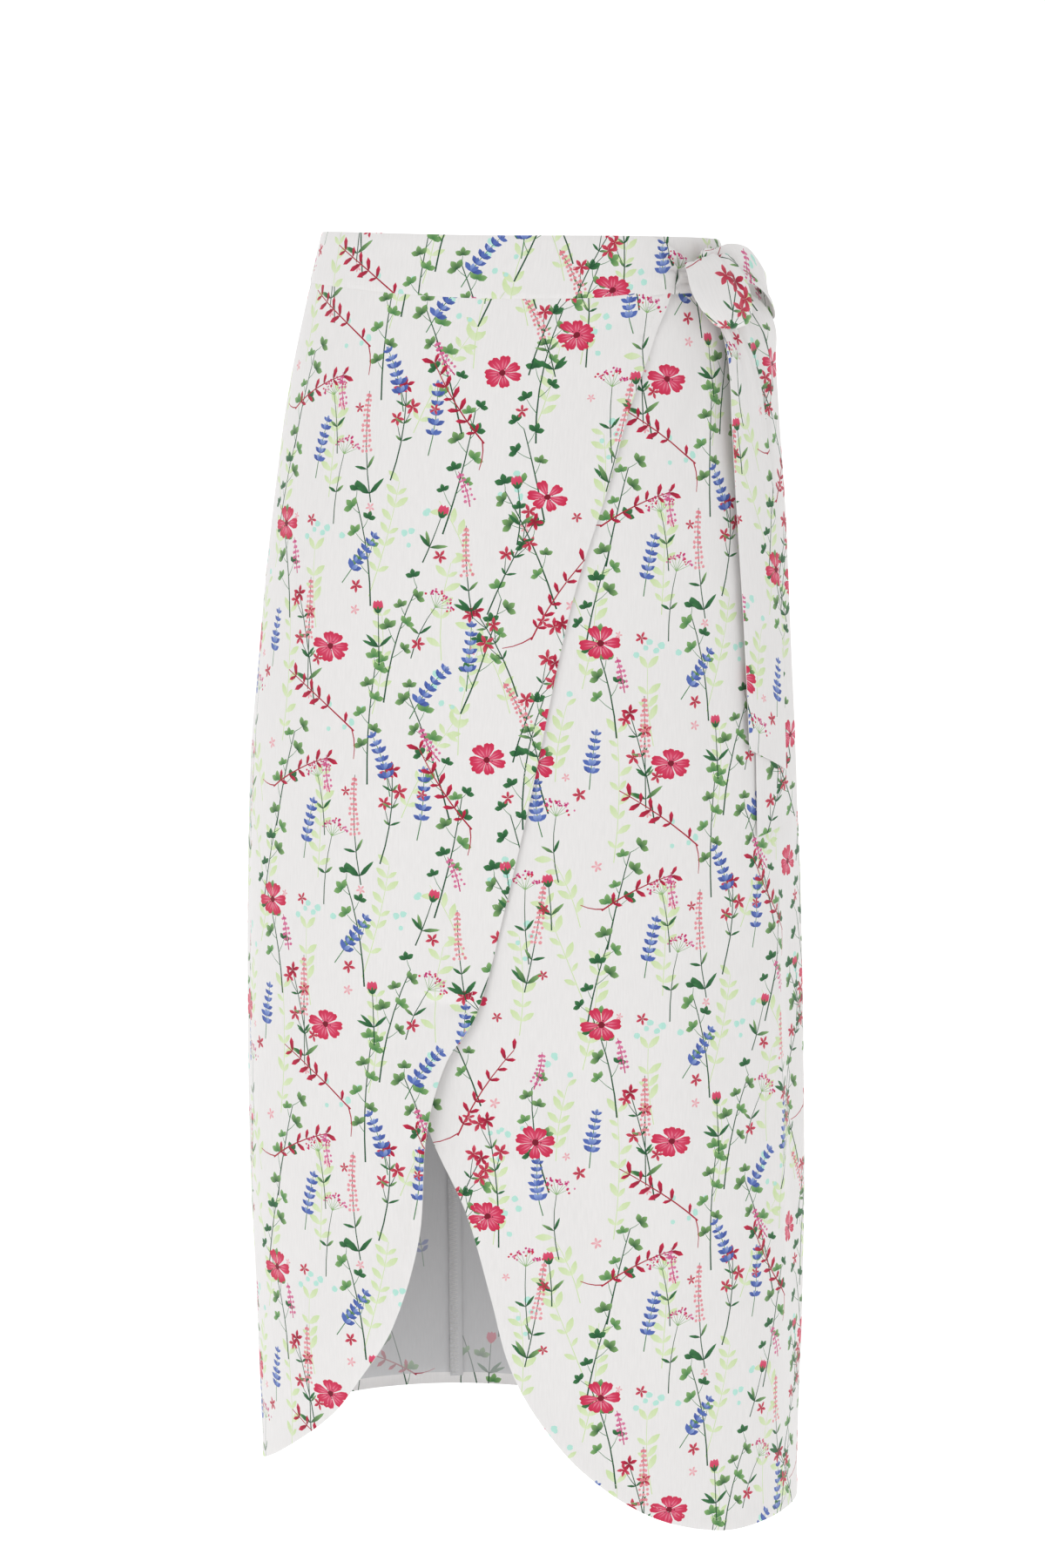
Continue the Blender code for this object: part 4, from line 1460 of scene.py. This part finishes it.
# ------------------------------------------------------------
# Bow: a loop that hangs down over the knot and one that stands off the hip, each a length of the
# same tie brought round and back into the knot.
# ------------------------------------------------------------
LoopRow = namedtuple("LoopRow", "angle1 height1 out1 angle2 height2 out2")
HANGING_LOOP = (
    LoopRow(47.0, -0.0060, 12.8 * MM, 60.5, 0.0015, 13.6 * MM),
    LoopRow(43.0, -0.0050, 16.0 * MM, 61.0, 0.0020, 18.0 * MM),
    LoopRow(42.0, -0.0130, 18.0 * MM, 62.5, -0.0070, 22.0 * MM),
    LoopRow(41.5, -0.0240, 20.0 * MM, 63.0, -0.0220, 24.0 * MM),
    LoopRow(44.5, -0.0370, 18.0 * MM, 62.5, -0.0370, 21.0 * MM),
    LoopRow(49.5, -0.0455, 14.0 * MM, 61.5, -0.0435, 16.5 * MM),
    LoopRow(53.0, -0.0390, 10.5 * MM, 61.0, -0.0380, 12.5 * MM),
    LoopRow(52.5, -0.0280, 10.0 * MM, 60.5, -0.0270, 12.0 * MM),
)
SIDE_LOOP = (
    LoopRow(60.3, 0.0050, 8.0 * MM, 60.8, -0.0100, 8.5 * MM),
    LoopRow(65.0, 0.0095, 16.0 * MM, 66.5, -0.0150, 18.0 * MM),
    LoopRow(70.5, 0.0070, 24.0 * MM, 72.0, -0.0200, 24.0 * MM),
    LoopRow(77.0, -0.0045, 27.0 * MM, 78.5, -0.0315, 26.0 * MM),
    LoopRow(83.0, -0.0120, 25.5 * MM, 84.0, -0.0390, 22.5 * MM),
    LoopRow(83.0, -0.0120, 18.5 * MM, 84.0, -0.0370, 16.5 * MM),
    LoopRow(76.5, -0.0060, 12.0 * MM, 78.0, -0.0280, 11.5 * MM),
    LoopRow(69.0, -0.0010, 8.0 * MM, 70.5, -0.0200, 8.0 * MM),
    LoopRow(62.5, 0.0000, 5.5 * MM, 64.0, -0.0150, 5.5 * MM),
)
Loop = namedtuple("Loop", "name rows width across_bulge folds repeat_at hangs")
LoopFold = namedtuple("LoopFold", "across width depth start end")
NEARBY, BULGES_BY = 0.02, 0.25  # shares of the way round a loop
LOOPS = (
    Loop("bow_loop_hanging", HANGING_LOOP, 32.0 * MM, 2.0 * MM, (
        LoopFold(0.82, 0.07, -2.6 * MM, 0.0, 0.75),
        LoopFold(0.64, 0.08, 1.4 * MM, 0.0, 0.5),
        LoopFold(0.16, 0.07, -1.4 * MM, 0.0, 0.4),
    ), np.array([0.100, 0.050]), True),
    Loop("bow_loop_side", SIDE_LOOP, 24.0 * MM, 1.6 * MM, (
        LoopFold(0.30, 0.09, -1.6 * MM, 0.0, 0.5),
        LoopFold(0.62, 0.09, 1.4 * MM, 0.0, 0.6),
        LoopFold(0.80, 0.07, -1.2 * MM, 0.1, 0.6),
    ), np.array([0.060, 0.004]), False),
)


def loop_surface(loop, across, share):
    """The loop's bare surface at this share of its width and of its way round."""
    stations = np.arange(len(loop.rows))
    rows = np.moveaxis(through(stations, loop.rows, share * stations[-1]), -1, 0)
    first = on_form(rows[0], rows[1], rows[2])
    second = on_form(rows[3], rows[4], rows[5])
    return first + (second - first) * across[:, None]


def loop_place(loop, length, flat, inwards):
    if loop.hangs:
        across, share = flat[:, 0] / loop.width, -flat[:, 1] / length
    else:
        across, share = -flat[:, 1] / loop.width, flat[:, 0] / length
    across, share = np.clip(across, 0, 1), np.clip(share, 0, 1)
    before, after = np.maximum(share - NEARBY, 0), np.minimum(share + NEARBY, 1)
    along = loop_surface(loop, across, after) - loop_surface(loop, across, before)
    beside = loop_surface(loop, across * 0 + 1.0, share) - loop_surface(loop, across * 0, share)
    outwards = np.cross(along, beside)
    outwards /= np.linalg.norm(outwards, axis=1)[:, None]
    out = loop.across_bulge * (1.0 - (2.0 * across - 1.0) ** 2) * smooth(share / BULGES_BY)
    for fold in loop.folds:
        lasting = smooth((fold.end - share) / (fold.end - fold.start))
        out = out + fold.depth * lasting * hollow(across - fold.across, fold.width)
    out = out - pressed_edge(across, loop.width, inwards)
    out = out + TIE_THICK / 2 - inwards
    return loop_surface(loop, across, share) + outwards * out[:, None]


for loop in LOOPS:
    steps = np.linspace(0.0, 1.0, 60)
    middle_line = loop_surface(loop, steps * 0 + 0.5, steps)
    length = float(np.linalg.norm(np.diff(middle_line, axis=0), axis=1).sum())
    wide, tall = (loop.width, length) if loop.hangs else (length, loop.width)
    sew_piece(
        loop.name, "tie_cloth",
        np.array([(0.0, -tall), (wide, -tall), (wide, 0.0), (0.0, 0.0)]),
        lambda flat, inwards: loop_place(loop, length, flat, inwards), loop.repeat_at,
        lined=True, thickness=TIE_THICK,
    )


# ------------------------------------------------------------
# Knot: one turn of the tie drawn tight round both ties and the end of the band, so it is a short
# firm roll with creases that run into it from both sides.
# ------------------------------------------------------------
KNOT_ANGLE, KNOT_HEIGHT, KNOT_OUT = 56.0, -0.0090, 7.6 * MM
KNOT_HALF = Vector((11.5 * MM, 5.0 * MM, 15.0 * MM))
KNOT_HALF_TURN, KNOT_HALF_RISE = math.radians(168), math.radians(80)
KNOT_GIRTH, KNOT_LENGTH = 7.4 * MM, 12.0 * MM
KNOT_BLUNT = 0.6
KNOT_REPEAT_AT = np.array([0.100, 0.080])
KnotCrease = namedtuple("KnotCrease", "rise lean width depth")
KNOT_CREASES = (
    KnotCrease(0.55, 0.30, 0.13, -1.1 * MM),
    KnotCrease(0.10, -0.18, 0.16, -1.2 * MM),
    KnotCrease(-0.42, 0.22, 0.12, -0.9 * MM),
)
knot_middle = on_form(KNOT_ANGLE, KNOT_HEIGHT, KNOT_OUT)
knot_along = on_form(KNOT_ANGLE + 1.0, KNOT_HEIGHT) - on_form(KNOT_ANGLE - 1.0, KNOT_HEIGHT)
knot_along /= np.linalg.norm(knot_along)
knot_out = np.cross(knot_along, (0.0, 0.0, 1.0))


def place_knot(flat, inwards):
    turn, rise = flat[:, 0] / KNOT_GIRTH, flat[:, 1] / KNOT_LENGTH
    round_end = np.cos(rise) ** KNOT_BLUNT
    deep = sum(
        c.depth * hollow(np.sin(rise) - c.rise - c.lean * np.sin(turn), c.width)
        for c in KNOT_CREASES
    ) - inwards
    return (
        knot_middle
        + knot_along * (np.sin(turn) * round_end * (KNOT_HALF.x + deep))[:, None]
        + knot_out * (np.cos(turn) * round_end * (KNOT_HALF.y + deep))[:, None]
        + np.array((0.0, 0.0, 1.0)) * (np.sin(rise) * (KNOT_HALF.z + deep))[:, None]
    )


knot_wide, knot_tall = KNOT_HALF_TURN * KNOT_GIRTH, KNOT_HALF_RISE * KNOT_LENGTH
sew_piece(
    "tie_knot", "tie_cloth",
    np.array([(-knot_wide, -knot_tall), (knot_wide, -knot_tall), (knot_wide, knot_tall),
              (-knot_wide, knot_tall)]),
    place_knot, KNOT_REPEAT_AT, lined=True,
)
